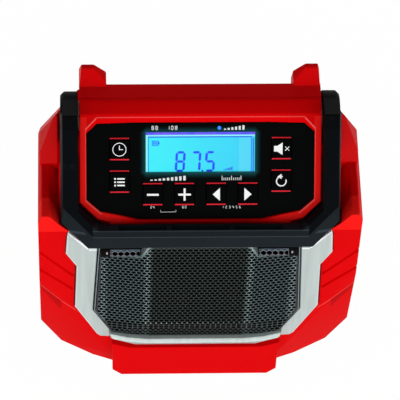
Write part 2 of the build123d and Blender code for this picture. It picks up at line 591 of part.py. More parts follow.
def rear_housing():
    """The rear shell with its ears, battery bay, port recess and bosses."""
    shell = SHELL & REAR_HALF
    shell += battery_bay()
    shell += ears()
    shell += port_surround()
    shell += housing_bosses(REAR_Y) & REAR_HALF
    for x, z in MAIN_POSTS:
        shell += pair(rod_y(x, z, POST_R, MAIN_Y + BOARD_THICK, BAY_WALL_Y - WALL))
    for x, z in PORT_POSTS:
        shell += rod_y(x, z, POST_R, PORT_BOARD_Y + BOARD_THICK, PORT_FLOOR_Y - WALL)
    shell -= block(-BAY_HALF, BAY_HALF, BAY_WALL_Y, 2 * REAR_Y, BAY_FLOOR_Z, FAR)
    shell += bay_guides()
    shell -= port_hollow()
    shell -= screw_bars(SCREW_R + RUN_GAP, PARTING_Y - 1.0, SCREW_HEAD_Y + 1.0)
    shell -= screw_bars(HEAD_R + TOUCH_GAP, SCREW_HEAD_Y, 2 * REAR_Y)
    for x, z in MAIN_POSTS:
        shell -= pair(rod_y(x, z, SMALL_R + RUN_GAP, MAIN_Y, BAY_WALL_Y - 1.0))
    for x, z in PORT_POSTS:
        shell -= rod_y(x, z, SMALL_R + RUN_GAP, PORT_BOARD_Y, PORT_FLOOR_Y - 0.8)
    shell -= socket_openings()
    shell -= flap_pin_bar(FLAP_PIN_R + RUN_GAP, 1.6)
    shell -= pair(rod_x(PIVOT_Y, PIVOT_Z, PIVOT_R + RUN_GAP, HEAD_HALF - 6, HEAD_HALF + 1))
    return shell


def housing_screws():
    """Long screws that join the two shells from the back."""
    shanks = screw_bars(SCREW_R, SCREW_TIP_Y, SCREW_HEAD_Y)
    return shanks + screw_bars(HEAD_R, SCREW_HEAD_Y, SCREW_HEAD_Y + HEAD_THICK)


def side_guard():
    """The raised bumper on the right side rail, outside the handle pivot."""
    rail = SIDE_TOP_Z
    profile = [(GUARD_Y0, rail - 8.0), (GUARD_Y0, rail + 0.5), (-1.0, GUARD_TOP_Z), (8.0, GUARD_TOP_Z),
               (GUARD_Y1, rail + 0.5), (GUARD_Y1, rail - 8.0)]
    guard = side_prism(profile, MID_HALF + TOUCH_GAP, BODY_HALF - 1.0)
    bevel = [(GUARD_CREST_X, GUARD_TOP_Z + 0.1), (BODY_HALF, rail + 3.0), (FAR, rail + 3.0),
             (FAR, GUARD_TOP_Z + 9), (GUARD_CREST_X, GUARD_TOP_Z + 9)]
    guard -= front_prism(bevel, FRONT_Y, REAR_Y)
    return guard - rear_facet(0.0) - OUTER


# ================================================================ control panel stack
BUTTONS = {"button_clock": (-COLUMN_X, COLUMN_S[0]), "button_channel": (-COLUMN_X, COLUMN_S[1]),
           "button_mute": (COLUMN_X, COLUMN_S[0]), "button_mode": (COLUMN_X, COLUMN_S[1]),
           "button_volume_down": (-ROW_X[1], ROW_S), "button_volume_up": (-ROW_X[0], ROW_S),
           "button_seek_down": (ROW_X[0], ROW_S), "button_seek_up": (ROW_X[1], ROW_S)}
LCD_TOP = -FASCIA_THICK - 0.1
LCD_THICK = 1.6
BUTTON_FLOOR = -FASCIA_THICK - FLANGE_THICK - 0.1
BOARD_TOP = BUTTON_FLOOR - BUTTON_TRAVEL - TOUCH_GAP - MAT_THICK
CONTROL_POST_R = 2.4
CONTROL_SCREWS = [(side * (FASCIA_HALF - 3.3), s) for s in (16.0, 42.0) for side in (-1, 1)]
BOARD_HALF, BOARD_WING = FASCIA_HALF - 8.9, FASCIA_HALF - 0.9
SWITCH_HALF, SWITCH_TALL = 3.0, 1.2


def control_fascia():
    """The black panel with its window and key openings."""
    plate = slope_prism(FASCIA, -FASCIA_THICK, 0.0, PANEL_GAP)
    plate -= slope_block(-WINDOW_HALF, WINDOW_HALF, WINDOW_S0, WINDOW_S1, -FASCIA_THICK - 1, 1)
    hole = BUTTON_SIDE / 2 + BUTTON_GAP
    for x, s in BUTTONS.values():
        plate -= slope_block(x - hole, x + hole, s - hole, s + hole, -FASCIA_THICK - 1, 1)
    return plate


def push_button(x, s):
    """A square key with a flange that holds it behind the fascia."""
    half = BUTTON_SIDE / 2
    cap = slope_block(x - half, x + half, s - half, s + half, BUTTON_FLOOR, BUTTON_PROUD)
    wide = half + BUTTON_GAP + BUTTON_FLANGE
    return cap + slope_block(x - wide, x + wide, s - wide, s + wide,
                             BUTTON_FLOOR, BUTTON_FLOOR + FLANGE_THICK)


def lcd_window():
    """The clear window over the display."""
    return slope_block(-WINDOW_HALF + PANEL_GAP, WINDOW_HALF - PANEL_GAP, WINDOW_S0 + PANEL_GAP,
                       WINDOW_S1 - PANEL_GAP, LCD_TOP + 0.05, -LENS_RECESS)


def lcd_module():
    """The liquid crystal cell."""
    return slope_block(-WINDOW_HALF - LCD_RIM, WINDOW_HALF + LCD_RIM, WINDOW_S0 - LCD_RIM / 2,
                       WINDOW_S1 + LCD_RIM / 2, LCD_TOP - LCD_THICK, LCD_TOP)


def backlight_diffuser():
    """The light guide behind the display."""
    return slope_block(-WINDOW_HALF - LCD_RIM, WINDOW_HALF + LCD_RIM, WINDOW_S0 - LCD_RIM / 2,
                       WINDOW_S1 + LCD_RIM / 2, BOARD_TOP, LCD_TOP - LCD_THICK)


def keypad_mat():
    """The rubber mat under the keys."""
    mat = slope_prism(FASCIA, BOARD_TOP, BOARD_TOP + MAT_THICK, LEDGE + TOUCH_GAP)
    mat &= slope_block(-BOARD_HALF, BOARD_HALF, ROW_S - 7.0, 99, BOARD_TOP - 1, 0)
    reach = WINDOW_HALF + LCD_RIM + TOUCH_GAP
    mat -= slope_block(-reach, reach, WINDOW_S0 - LCD_RIM / 2 - TOUCH_GAP, 99, BOARD_TOP - 1, 0)
    hole = SWITCH_HALF + TOUCH_GAP
    for x, s in BUTTONS.values():
        mat -= slope_block(x - hole, x + hole, s - hole, s + hole, BOARD_TOP - 1, 0)
    return mat


def tact_switches():
    """One small switch under each key."""
    half = SWITCH_HALF
    return joined(slope_block(x - half, x + half, s - half, s + half, BOARD_TOP, BOARD_TOP + SWITCH_TALL)
                  for x, s in BUTTONS.values())


def control_board():
    """The circuit board under the panel."""
    board = slope_block(-BOARD_HALF, BOARD_HALF, ROW_S - 7.5, WINDOW_S1 + 2.6,
                        BOARD_TOP - BOARD_THICK, BOARD_TOP)
    board += slope_block(-BOARD_WING, BOARD_WING, 12.0, 46.0, BOARD_TOP - BOARD_THICK, BOARD_TOP)
    for x, s in CONTROL_SCREWS:
        board -= slope_rod(x, s, SMALL_R + 0.1, BOARD_TOP - BOARD_THICK - 1, BOARD_TOP + 1)
    return board


def control_screws():
    """Small screws that hold the control board."""
    under = BOARD_TOP - BOARD_THICK
    return joined(slope_rod(x, s, SMALL_R, under, -FASCIA_THICK - 1.0)
                  + slope_rod(x, s, SMALL_HEAD_R, under - SMALL_HEAD, under) for x, s in CONTROL_SCREWS)


# ================================================================ front trims and grille
SILL_FRONT_Y = FRONT_Y - SILL_DEPTH


def side_trim():
    """The silver strip beside the grille."""
    plate = front_prism(TRIM_OUTLINE, FRONT_Y - TRIM_PROUD, FRONT_Y + TRIM_THICK - TRIM_PROUD)
    edges = plate.edges().filter_by(lambda e: abs(e.center().Y - (FRONT_Y - TRIM_PROUD)) < 0.01)
    return chamfer(edges, 0.4)


def lower_trim():
    """The silver sill under the grille."""
    sill = front_prism(SILL, SILL_FRONT_Y, FRONT_Y)
    front = sill.edges().filter_by(lambda e: abs(e.center().Y - SILL_FRONT_Y) < 0.01)
    return chamfer(front.filter_by(lambda e: e.center().Z > 37.0), 1.6)


def grille_bezel():
    """The black ring that holds the grille."""
    ring = front_prism(both_sides(BEZEL_OUTLINE), FRONT_Y - BEZEL_PROUD, FRONT_Y + WALL, PANEL_GAP)
    return ring - front_prism(both_sides(BEZEL_OUTLINE), FRONT_Y - 9, FRONT_Y + 9, 2 * BEZEL_WIDTH)


GRILLE_SEAT_Y = FRONT_Y - BEZEL_PROUD
GRILLE_OUTLINE = [(26.8, GRILLE_CROWN_Z), (30.6, 122.2), (51.6, 122.2), (54.0, 63.8),
                  (45.4, 45.0), (36.5, 41.4), (26.1, 39.6)]


def grille_form(inset):
    """The faceted bulge of the grille, or its inside when drawn in."""
    centre_y = FRONT_Y - GRILLE_BULGE + inset
    rim_y = GRILLE_SEAT_Y - GRILLE_SHEET + inset
    form = front_prism(both_sides(GRILLE_OUTLINE), centre_y, GRILLE_SEAT_Y, inset)
    wing = 2 * BODY_HALF
    slope = (rim_y - centre_y) / (GRILLE_OUTLINE[2][0] - GRILLE_FLAT)
    facet_y = centre_y + slope * (wing - GRILLE_FLAT)
    side = Polyline((GRILLE_FLAT, centre_y), (wing, facet_y), (wing, centre_y - 9),
                    (GRILLE_FLAT, centre_y - 9), close=True)
    form -= pair(extrude(make_face(side), FAR))
    drop = (rim_y - centre_y) / (GRILLE_FOLD_Z - GRILLE_OUTLINE[6][1])
    under = [(centre_y, GRILLE_FOLD_Z), (centre_y - 9, GRILLE_FOLD_Z), (centre_y - 9, 0.0),
             (centre_y + drop * GRILLE_FOLD_Z, 0.0)]
    form -= side_prism(under, -BODY_HALF, BODY_HALF)
    return form


def grille_openings():
    """Staggered hexagonal openings that lie wholly on the sheet, below the folded grip."""
    row = MESH_PITCH * math.sqrt(3) / 2
    corner = (MESH_PITCH - MESH_WEB) / math.sqrt(3)
    middle_z = (GRILLE_FOLD_Z + GRILLE_OUTLINE[1][1]) / 2
    field = outline(both_sides(GRILLE_OUTLINE), MESH_MARGIN)
    found = []
    for j in range(-4, 5):
        for i in range(-5, 6):
            x, z = (i + 0.5 * (j % 2)) * MESH_PITCH, middle_z + j * row
            angles = [math.radians(60 * k + 30) for k in range(6)]
            points = [(x + corner * math.cos(a), z + corner * math.sin(a)) for a in angles]
            if z + corner < GRILLE_OUTLINE[1][1] - MESH_MARGIN and abs((outline(points) - field).area) < 0.01:
                found.append(front_prism(points, 2 * FRONT_Y, FRONT_Y))
    return joined(found)


def speaker_grille():
    """The pressed grille sheet with its openings, cut clear of the folded grip."""
    sheet = grille_form(0.0) - grille_form(GRILLE_SHEET) - grille_openings()
    origin = (-HEAD_HALF, PANEL_FOOT_Y, PANEL_FOOT_Z)
    plane = Plane(origin=origin, x_dir=(0, COS_T, SIN_T), z_dir=(1, 0, 0))
    return sheet - extrude(plane * outline(GRIP_SECTION, -GRIP_ROOM), 2 * HEAD_HALF)


# ================================================================ speaker
BAFFLE_Y = FRONT_Y + WALL
BAFFLE = both_sides([(56.0, 126.0), (60.0, 100.0), (60.0, 60.0), (50.0, 34.0)])
RING_Y = BAFFLE_Y + BAFFLE_THICK
PLATE_Y = RING_Y + 20.4
POLE_R = COIL_R - 1.2
SPEAKER_SCREWS = 4
SPEAKER_SCREW_CIRCLE = 35.2


def speaker_baffle():
    """The plate that carries the speaker behind the grille."""
    plate = front_prism(BAFFLE, BAFFLE_Y, RING_Y)
    plate -= rod_y(0, SPEAKER_Z, CONE_R + 2.5, BAFFLE_Y - 1, RING_Y + 1)
    return plate - speaker_screw_bars(SMALL_R + RUN_GAP, BAFFLE_Y + 0.6, RING_Y + 1)


def speaker_screw_bars(radius, y0, y1):
    """Round bars on the axes of the speaker's screws."""
    angles = [math.radians(45.0 + 360.0 / SPEAKER_SCREWS * k) for k in range(SPEAKER_SCREWS)]
    return joined(rod_y(SPEAKER_SCREW_CIRCLE * math.cos(angle),
                        SPEAKER_Z + SPEAKER_SCREW_CIRCLE * math.sin(angle), radius, y0, y1)
                  for angle in angles)


def speaker_basket():
    """The pressed frame of the speaker with its four windows."""
    y = RING_Y
    inner = SPEAKER_R - FLANGE_RING + 0.5
    profile = [(inner, y), (SPEAKER_R, y), (SPEAKER_R, y + 2.0), (inner + 1.1, y + 2.0),
               (MAGNET_R + 1.0, PLATE_Y - 2.0), (MAGNET_R + 1.0, PLATE_Y), (COIL_R + 1.5, PLATE_Y),
               (COIL_R + 1.5, PLATE_Y - 1.6), (MAGNET_R - 0.6, PLATE_Y - 1.6), (inner, y + 2.0)]
    basket = turned(profile, SPEAKER_Z)
    window = block(MAGNET_R + 1.5, SPEAKER_R + 2, y + 4.4, PLATE_Y - 4.0, -9.0, 9.0)
    for k in range(4):
        basket -= Pos(0, 0, SPEAKER_Z) * Rot(0, 90.0 * k, 0) * window
    return basket - speaker_screw_bars(SMALL_R + 0.1, y - 1, y + 3)


def speaker_screws():
    """Small screws through the speaker's flange."""
    bars = speaker_screw_bars(SMALL_R, BAFFLE_Y + 1.0, RING_Y + 2.0)
    return bars + speaker_screw_bars(SMALL_HEAD_R, RING_Y + 2.0, RING_Y + 2.0 + SMALL_HEAD)


def speaker_magnet():
    """The ring magnet."""
    return turned([(COIL_R + 2.0, PLATE_Y), (MAGNET_R, PLATE_Y), (MAGNET_R, PLATE_Y + MAGNET_THICK),
                   (COIL_R + 2.0, PLATE_Y + MAGNET_THICK)], SPEAKER_Z)


def magnet_yoke():
    """The steel back plate with its pole."""
    back = PLATE_Y + MAGNET_THICK
    return turned([(0, PLATE_Y - 4.0), (POLE_R, PLATE_Y - 4.0), (POLE_R, back), (MAGNET_R, back),
                   (MAGNET_R - 1.0, back + 2.4), (0, back + 2.4)], SPEAKER_Z)


CONE_Y = RING_Y + 0.8


def speaker_cone():
    """The paper cone."""
    return turned([(CONE_R, CONE_Y), (CONE_R + 0.4, CONE_Y + 0.7),
                   (COIL_R + RUN_GAP, CONE_Y + CONE_DEPTH + 0.9),
                   (COIL_R + RUN_GAP, CONE_Y + CONE_DEPTH)], SPEAKER_Z)


def voice_coil():
    """The coil former that moves in the magnet's gap."""
    front, back, inner = CONE_Y + CONE_DEPTH, PLATE_Y + 6.0, COIL_R - 0.7
    return turned([(inner, front), (COIL_R, front), (COIL_R, back), (inner, back)], SPEAKER_Z)


def dust_cap():
    """The cap over the middle of the cone."""
    rim = CONE_Y + CONE_DEPTH
    return turned([(0, rim - 3.8), (5.0, rim - 2.9), (COIL_R, rim), (COIL_R - 0.8, rim), (4.6, rim - 2.1),
                   (0, rim - 2.9)], SPEAKER_Z)


def speaker_surround():
    """The half roll around the cone."""
    y = CONE_Y
    outer = SPEAKER_R - FLANGE_RING + 0.3
    inner = CONE_R + 0.6
    crest = (inner + outer) / 2
    return turned([(inner, y - 0.1), (crest, y - 1.4), (outer, y - 0.1), (outer, y + 0.7), (crest, y - 0.5),
                   (inner, y + 0.7)], SPEAKER_Z)


def speaker_spider():
    """The disc that centres the coil."""
    y = PLATE_Y - 4.6
    inner, outer = COIL_R + TOUCH_GAP, MAGNET_R + 0.6
    return turned([(inner, y), (outer, y), (outer, y + 0.6), (inner, y + 0.6)], SPEAKER_Z)


# ================================================================ electronics
ROD_R, ROD_HALF, ROD_Y, ROD_Z = 4.0, 42.0, -6.0, 161.0
CLIP_X = 32.0
COIL_TURNS_R = 5.2
SINK_FINS, FIN_PITCH, FIN_THICK = 6, 3.76, 1.2
SINK_X, SINK_WIDE = 12.0, 20.0
SINK_Z0, SINK_Z1 = 128.0, 142.0


def ferrite_clips():
    """Two hangers under the top band that hold the ferrite rod."""
    x0, x1 = CLIP_X - 2.0, CLIP_X + 2.0
    clip = block(x0, x1, ROD_Y - 5.4, ROD_Y + 5.4, ROD_Z - 5.4, ROD_Z + 5.0)
    clip += block(x0, x1, ROD_Y + 1.0, ROD_Y + 5.4, ROD_Z, CROWN_Z - 2.0) & OUTER
    return pair(clip - rod_x(ROD_Y, ROD_Z, ROD_R + RUN_GAP, x0 - 1, x1 + 1))


def am_ferrite_rod():
    """The ferrite rod of the medium-wave aerial."""
    return rod_x(ROD_Y, ROD_Z, ROD_R, -ROD_HALF, ROD_HALF)


def am_coil():
    """The winding on the rod."""
    coil = rod_x(ROD_Y, ROD_Z, COIL_TURNS_R, -12.0, 12.0)
    return coil - rod_x(ROD_Y, ROD_Z, ROD_R + RUN_GAP, -13.0, 13.0)


def main_board():
    """The main circuit board behind the speaker and the panel."""
    board = block(-MAIN_HALF, MAIN_HALF, MAIN_Y, MAIN_Y + BOARD_THICK, MAIN_Z0, MAIN_Z1)
    for x, z in MAIN_POSTS:
        board -= pair(rod_y(x, z, SMALL_R + 0.1, MAIN_Y - 1, MAIN_Y + BOARD_THICK + 1))
    return board


def small_screw(x, z, head_y, tip_y):
    """A small screw along Y; its head is in front of head_y."""
    return rod_y(x, z, SMALL_R, head_y, tip_y) + rod_y(x, z, SMALL_HEAD_R, head_y - SMALL_HEAD, head_y)


def board_screws():
    """Small screws that hold the main board and the port board."""
    main = pair(joined(small_screw(x, z, MAIN_Y, BAY_WALL_Y - WALL - 0.2) for x, z in MAIN_POSTS))
    return main + joined(small_screw(x, z, PORT_BOARD_Y, PORT_FLOOR_Y - WALL) for x, z in PORT_POSTS)


def board_components():
    """Capacitors, chips and connectors on the main board."""
    cans = joined(rod_y(-26.0 + 9.0 * k, 120.0, 3.4, MAIN_Y - 9.0, MAIN_Y) for k in range(4))
    chips = [(-18.0, 144.0, 12.0, 12.0), (2.0, 146.0, 9.0, 7.0), (20.0, 116.0, 14.0, 6.0)]
    return cans + joined(block(x - wide / 2, x + wide / 2, MAIN_Y - 1.6, MAIN_Y, z - tall / 2, z + tall / 2)
                         for x, z, wide, tall in chips)


def heat_sink():
    """The finned heat sink of the amplifier."""
    base = block(SINK_X, SINK_X + SINK_WIDE, MAIN_Y - 1.6, MAIN_Y, SINK_Z0, SINK_Z1)
    starts = [SINK_X + FIN_PITCH * k for k in range(SINK_FINS)]
    return base + joined(block(x, x + FIN_THICK, MAIN_Y - 8.0, MAIN_Y - 1.6, SINK_Z0, SINK_Z1)
                         for x in starts)


# ================================================================ ports
PORT_BOARD_Y = 34.0
PORT_POSTS = [(PORT_X + 10.5, PORT_Z), (PORT_X - 10.5, PORT_Z - 14.0)]
JACK_Z, USB_Z = PORT_Z + 11.0, PORT_Z - 6.0
# x, barrel radius and bore radius of the audio and the power jack, side by side
AUX_JACK, DC_JACK = (PORT_X - 6.0, 3.8, 1.8), (PORT_X + 5.5, 4.6, 2.8)
JACKS = [AUX_JACK, DC_JACK]
USB_HALF, USB_TALL = 6.6, 5.8
SOCKET_FRONT_Y = PORT_FLOOR_Y + 1.2
FLAP_RIB = 1.6           # cross rib under the flap's upper edge
FLAP_PIN_Y = REAR_Y - 1.1
FLAP_PIN_Z = PORT_Z - PORT_TALL / 2 + 1.05


def port_board():
    """The small board behind the port recess."""
    board = block(PORT_X - PORT_HALF, PORT_X + PORT_HALF, PORT_BOARD_Y, PORT_BOARD_Y + BOARD_THICK,
                  PORT_Z - PORT_TALL / 2, PORT_Z + PORT_TALL / 2)
    for x, z in PORT_POSTS:
        board -= rod_y(x, z, SMALL_R + 0.1, PORT_BOARD_Y - 1, PORT_BOARD_Y + BOARD_THICK + 1)
    return board


def round_socket(x, radius, bore):
    """A barrel jack with a blind bore."""
    barrel = rod_y(x, JACK_Z, radius, PORT_BOARD_Y + BOARD_THICK, SOCKET_FRONT_Y)
    return barrel - rod_y(x, JACK_Z, bore, PORT_BOARD_Y + BOARD_THICK + 1.0, SOCKET_FRONT_Y + 1)


def usb_block(shrink, y0, y1):
    """The outline of the USB socket, drawn in by its wall, from y0 to y1."""
    half, tall = USB_HALF - shrink, USB_TALL / 2 - shrink
    return block(PORT_X - half, PORT_X + half, y0, y1, USB_Z - tall, USB_Z + tall)


def usb_socket():
    """A USB socket with its contact tongue."""
    floor = PORT_BOARD_Y + BOARD_THICK
    shell = usb_block(0.0, floor, SOCKET_FRONT_Y) - usb_block(0.5, floor + 1.0, SOCKET_FRONT_Y + 1)
    return shell + block(PORT_X - USB_HALF + 1.0, PORT_X + USB_HALF - 1.0, floor, SOCKET_FRONT_Y - 1.0,
                         USB_Z + 0.2, USB_Z + 1.8)


def flap_pin_bar(radius, past):
    """A bar on the flap's hinge line that goes past the flap's ends."""
    reach = PORT_HALF + past
    return rod_x(FLAP_PIN_Y, FLAP_PIN_Z, radius, PORT_X - reach, PORT_X + reach)


def port_flap():
    """The flap over the USB socket, with a finger notch at its upper edge."""
    half = PORT_HALF
    plate = block(PORT_X - half, PORT_X + half, REAR_Y - FLAP_THICK - 0.1, REAR_Y - 0.1,
                  FLAP_PIN_Z, FLAP_TOP_Z)
    plate += flap_pin_bar(FLAP_THICK / 2, 0.0)
    notch = block(PORT_X - 5.0, PORT_X + 5.0, REAR_Y - 1.0, REAR_Y + 1, FLAP_TOP_Z - 2.0, FAR)
    return plate - notch - flap_pin_bar(FLAP_PIN_R + RUN_GAP, 1.0)


def flap_pin():
    """The steel pin of the flap."""
    return flap_pin_bar(FLAP_PIN_R, 1.5)


# ================================================================ battery pack
GUIDE_REACH = 2.6
GUIDE_Z0, GUIDE_Z1 = 14.0, 98.0
PACK_SPLIT_Y = 33.0
TERMINAL_HALF = 13.0
TERMINAL_Z0, TERMINAL_Z1 = 11.0, 27.0
BLADE_X = (-8.0, 0.0, 8.0)
TERMINAL_OUT_Y = 14.8
BLADE_OUT_Y = 19.4
POCKET_GAP = 0.8
CELL_COUNT = 5
CELL_HALF = 32.5
CELL_Y = 42.2
CELL_PITCH = 2 * CELL_R + 0.1
CELL_Z0 = PACK_FOOT_Z + CASE_WALL + CELL_R + TOUCH_GAP
PACK_BEVEL = 3.0
LATCH_Z = 92.0


def pack_form(inset):
    """The battery pack's block with bevelled rear edges."""
    half = PACK_HALF - inset
    body = block(-half, half, PACK_FRONT_Y + inset, PACK_REAR_Y - inset,
                 PACK_FOOT_Z + inset, PACK_TOP_Z - inset)
    rear = body.faces().sort_by(Axis.Y)[-1]
    return chamfer(rear.edges(), PACK_BEVEL)


def terminal_pocket(gap):
    """The space in the pack for the bay's terminal block."""
    half = TERMINAL_HALF + gap
    return block(-half, half, PACK_FRONT_Y - 1, BLADE_OUT_Y + gap, 0.0, TERMINAL_Z1 + gap)


def guide_grooves(gap):
    """The two grooves in the pack's flanks that run on the bay's guides."""
    return pair(block(BAY_HALF - GUIDE_REACH - gap, PACK_HALF + 1, GUIDE_Y - GUIDE_SIZE / 2 - gap,
                      GUIDE_Y + GUIDE_SIZE / 2 + gap, 0.0, GUIDE_Z1 + gap))


def battery_case():
    """The hollow case of the pack, in one piece."""
    room = pack_form(CASE_WALL)
    room -= terminal_pocket(POCKET_GAP + CASE_WALL)
    room -= guide_grooves(GUIDE_GAP + CASE_WALL - 0.6)
    case = pack_form(0.0) - room - terminal_pocket(POCKET_GAP) - guide_grooves(GUIDE_GAP)
    latch = LATCH_HALF + BUTTON_GAP
    tall = LATCH_HEIGHT / 2 + BUTTON_GAP
    return case - block(-latch, latch, PACK_REAR_Y - CASE_WALL - 1, PACK_REAR_Y + 1,
                        LATCH_Z - tall, LATCH_Z + tall)


CASE = battery_case()


def battery_case_front():
    """The half of the case that faces the bay."""
    return CASE & block(-FAR, FAR, 0, PACK_SPLIT_Y, 0, FAR)


def battery_case_rear():
    """The outer half of the case."""
    return CASE & block(-FAR, FAR, PACK_SPLIT_Y, FAR, 0, FAR)


def battery_cells():
    """Round cells, one above the other."""
    return joined(rod_x(CELL_Y, CELL_Z0 + CELL_PITCH * k, CELL_R, -CELL_HALF, CELL_HALF)
                  for k in range(CELL_COUNT))


def battery_board():
    """The board that watches the cells."""
    return block(-28.0, 28.0, PACK_SPLIT_Y - 2.0, PACK_SPLIT_Y - 0.4, 36.0, 98.0)


def battery_release():
    """The release key, held behind the case wall by its flange."""
    half, tall, inner = LATCH_HALF, LATCH_HEIGHT / 2, PACK_REAR_Y - CASE_WALL
    pad = block(-half, half, inner - 0.2, PACK_REAR_Y, LATCH_Z - tall, LATCH_Z + tall)
    return pad + block(-half - LATCH_FLANGE, half + LATCH_FLANGE, inner - 1.5, inner - 0.1,
                       LATCH_Z - tall - LATCH_FLANGE, LATCH_Z + tall + LATCH_FLANGE)


def terminal_block():
    """The block in the bay that carries the blades."""
    base = block(-TERMINAL_HALF, TERMINAL_HALF, BAY_WALL_Y, TERMINAL_OUT_Y, TERMINAL_Z0, TERMINAL_Z1)
    for x in BLADE_X:
        base -= block(x - 0.45, x + 0.45, BAY_WALL_Y - 1, TERMINAL_OUT_Y + 1,
                      TERMINAL_Z0 + 2, TERMINAL_Z1 - 2)
    return base


def battery_terminals():
    """Three brass blades."""
    return joined(block(x - 0.4, x + 0.4, BAY_WALL_Y, BLADE_OUT_Y, TERMINAL_Z0 + 2.1, TERMINAL_Z1 - 2.1)
                  for x in BLADE_X)


# ================================================================ feet
FOOT_X = BODY_HALF - FOOT_SIDE_INSET


def rubber_feet():
    """Four round feet, bevelled at the floor."""
    rows = (FRONT_Y + FOOT_END_INSET, REAR_Y - FOOT_END_INSET)
    feet = pair(joined(rod_z(FOOT_X, y, FOOT_R, 0.0, UNDERSIDE_Z) for y in rows))
    bottom = feet.edges().filter_by(GeomType.CIRCLE).group_by(Axis.Z)[0]
    return chamfer(bottom, 1.0)


# ================================================================ write the nodes
def build():
    """Writes every node to its own STEP file."""
    os.makedirs("parts", exist_ok=True)
    save("front_housing", front_housing())
    save("rear_housing", rear_housing())
    save("right_guard", side_guard())
    save("left_guard", mirrored(side_guard()))
    save("right_trim", side_trim())
    save("left_trim", mirrored(side_trim()))
    save("lower_trim", lower_trim())
    save("grille_bezel", grille_bezel())
    save("speaker_grille", speaker_grille())
    save("control_fascia", control_fascia())
    save("lcd_window", lcd_window())
    save("lcd_module", lcd_module())
    save("backlight_diffuser", backlight_diffuser())
    save("keypad_mat", keypad_mat())
    save("tact_switches", tact_switches())
    save("control_board", control_board())
    for name, (x, s) in BUTTONS.items():
        save(name, push_button(x, s))
    save("handle", handle())
    save("pivot_bolts", pivot_bolts())
    save("pivot_nuts", pivot_nuts())
    save("pivot_washers", pivot_washers())
    save("pivot_caps", pivot_caps())
    save("speaker_baffle", speaker_baffle())
    save("speaker_basket", speaker_basket())
    save("speaker_magnet", speaker_magnet())
    save("magnet_yoke", magnet_yoke())
    save("speaker_cone", speaker_cone())
    save("voice_coil", voice_coil())
    save("dust_cap", dust_cap())
    save("speaker_surround", speaker_surround())
    save("speaker_spider", speaker_spider())
    save("am_ferrite_rod", am_ferrite_rod())
    save("am_coil", am_coil())
    save("main_board", main_board())
    save("small_screws", board_screws() + control_screws() + speaker_screws())
    save("board_components", board_components())
    save("heat_sink", heat_sink())
    save("port_board", port_board())
    save("aux_socket", round_socket(*AUX_JACK))
    save("dc_socket", round_socket(*DC_JACK))
    save("usb_socket", usb_socket())
    save("port_flap", port_flap())
    save("flap_pin", flap_pin())
    save("housing_screws", housing_screws())
    save("battery_case_front", battery_case_front())
    save("battery_case_rear", battery_case_rear())
    save("battery_cells", battery_cells())
    save("battery_board", battery_board())
    save("battery_release", battery_release())
    save("terminal_block", terminal_block())
    save("battery_terminals", battery_terminals())
    save("rubber_feet", rubber_feet())


build()
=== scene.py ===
import json
import math

import bmesh
import bpy
from mathutils import Matrix, Vector
from mathutils.bvhtree import BVHTree
from mathutils.geometry import intersect_point_line, tessellate_polygon

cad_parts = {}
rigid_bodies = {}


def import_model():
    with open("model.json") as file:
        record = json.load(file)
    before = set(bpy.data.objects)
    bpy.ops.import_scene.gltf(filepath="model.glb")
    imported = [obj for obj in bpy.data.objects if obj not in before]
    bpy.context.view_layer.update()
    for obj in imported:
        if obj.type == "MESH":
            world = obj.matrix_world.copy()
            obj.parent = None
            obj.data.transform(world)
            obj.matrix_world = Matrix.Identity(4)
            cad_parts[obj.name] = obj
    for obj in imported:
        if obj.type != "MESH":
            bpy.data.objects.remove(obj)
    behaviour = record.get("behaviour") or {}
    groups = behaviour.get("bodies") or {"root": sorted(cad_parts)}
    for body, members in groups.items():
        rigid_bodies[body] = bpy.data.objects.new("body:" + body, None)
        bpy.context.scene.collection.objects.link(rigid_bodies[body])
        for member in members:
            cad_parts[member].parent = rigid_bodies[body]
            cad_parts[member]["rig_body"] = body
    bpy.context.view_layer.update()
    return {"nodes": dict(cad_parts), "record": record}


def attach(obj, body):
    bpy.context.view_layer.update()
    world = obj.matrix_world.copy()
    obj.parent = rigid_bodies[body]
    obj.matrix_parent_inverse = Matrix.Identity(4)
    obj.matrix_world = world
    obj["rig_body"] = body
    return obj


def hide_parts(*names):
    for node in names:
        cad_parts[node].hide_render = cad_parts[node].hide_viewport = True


bl_info = {
    "name": "Jobsite Radio",
    "version": (1, 0, 0),
    "blender": (4, 5, 0),
    "location": "3D View > Sidebar > Radio",
    "description": "Dresses the packed model of a cordless jobsite radio",
    "category": "Object",
}

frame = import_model()
SLOTS = {part["node"]: part["material_slot"] for part in frame["record"]["subparts"]}
MM = 0.001

# ---- panel slope, millimetres
TILT = math.radians(48.0)
COS_T, SIN_T = math.cos(TILT), math.sin(TILT)
FOOT_Y, FOOT_Z = -46.0, 140.0
FOOT_N = FOOT_Z * COS_T - FOOT_Y * SIN_T      # height of the slope's foot along its own normal
UPHILL, OUTWARD = Vector((0, COS_T, SIN_T)), Vector((0, -SIN_T, COS_T))
KEY_HALF, KEY_TOP = 4.95, 1.3
KEYS = {"button_clock": (-41.8, 38.2), "button_channel": (-41.8, 21.0),
        "button_mute": (41.8, 38.2), "button_mode": (41.8, 21.0),
        "button_volume_down": (-24.6, 14.2), "button_volume_up": (-8.2, 14.2),
        "button_seek_down": (8.2, 14.2), "button_seek_up": (24.6, 14.2)}
WINDOW_HALF, WINDOW_LOW, WINDOW_TOP = 28.2, 25.6, 46.8
DISPLAY_N = -2.45        # height of the lit face above the slope
SCALE_FOOT = 21.4        # foot of the two scales between the keys and the window

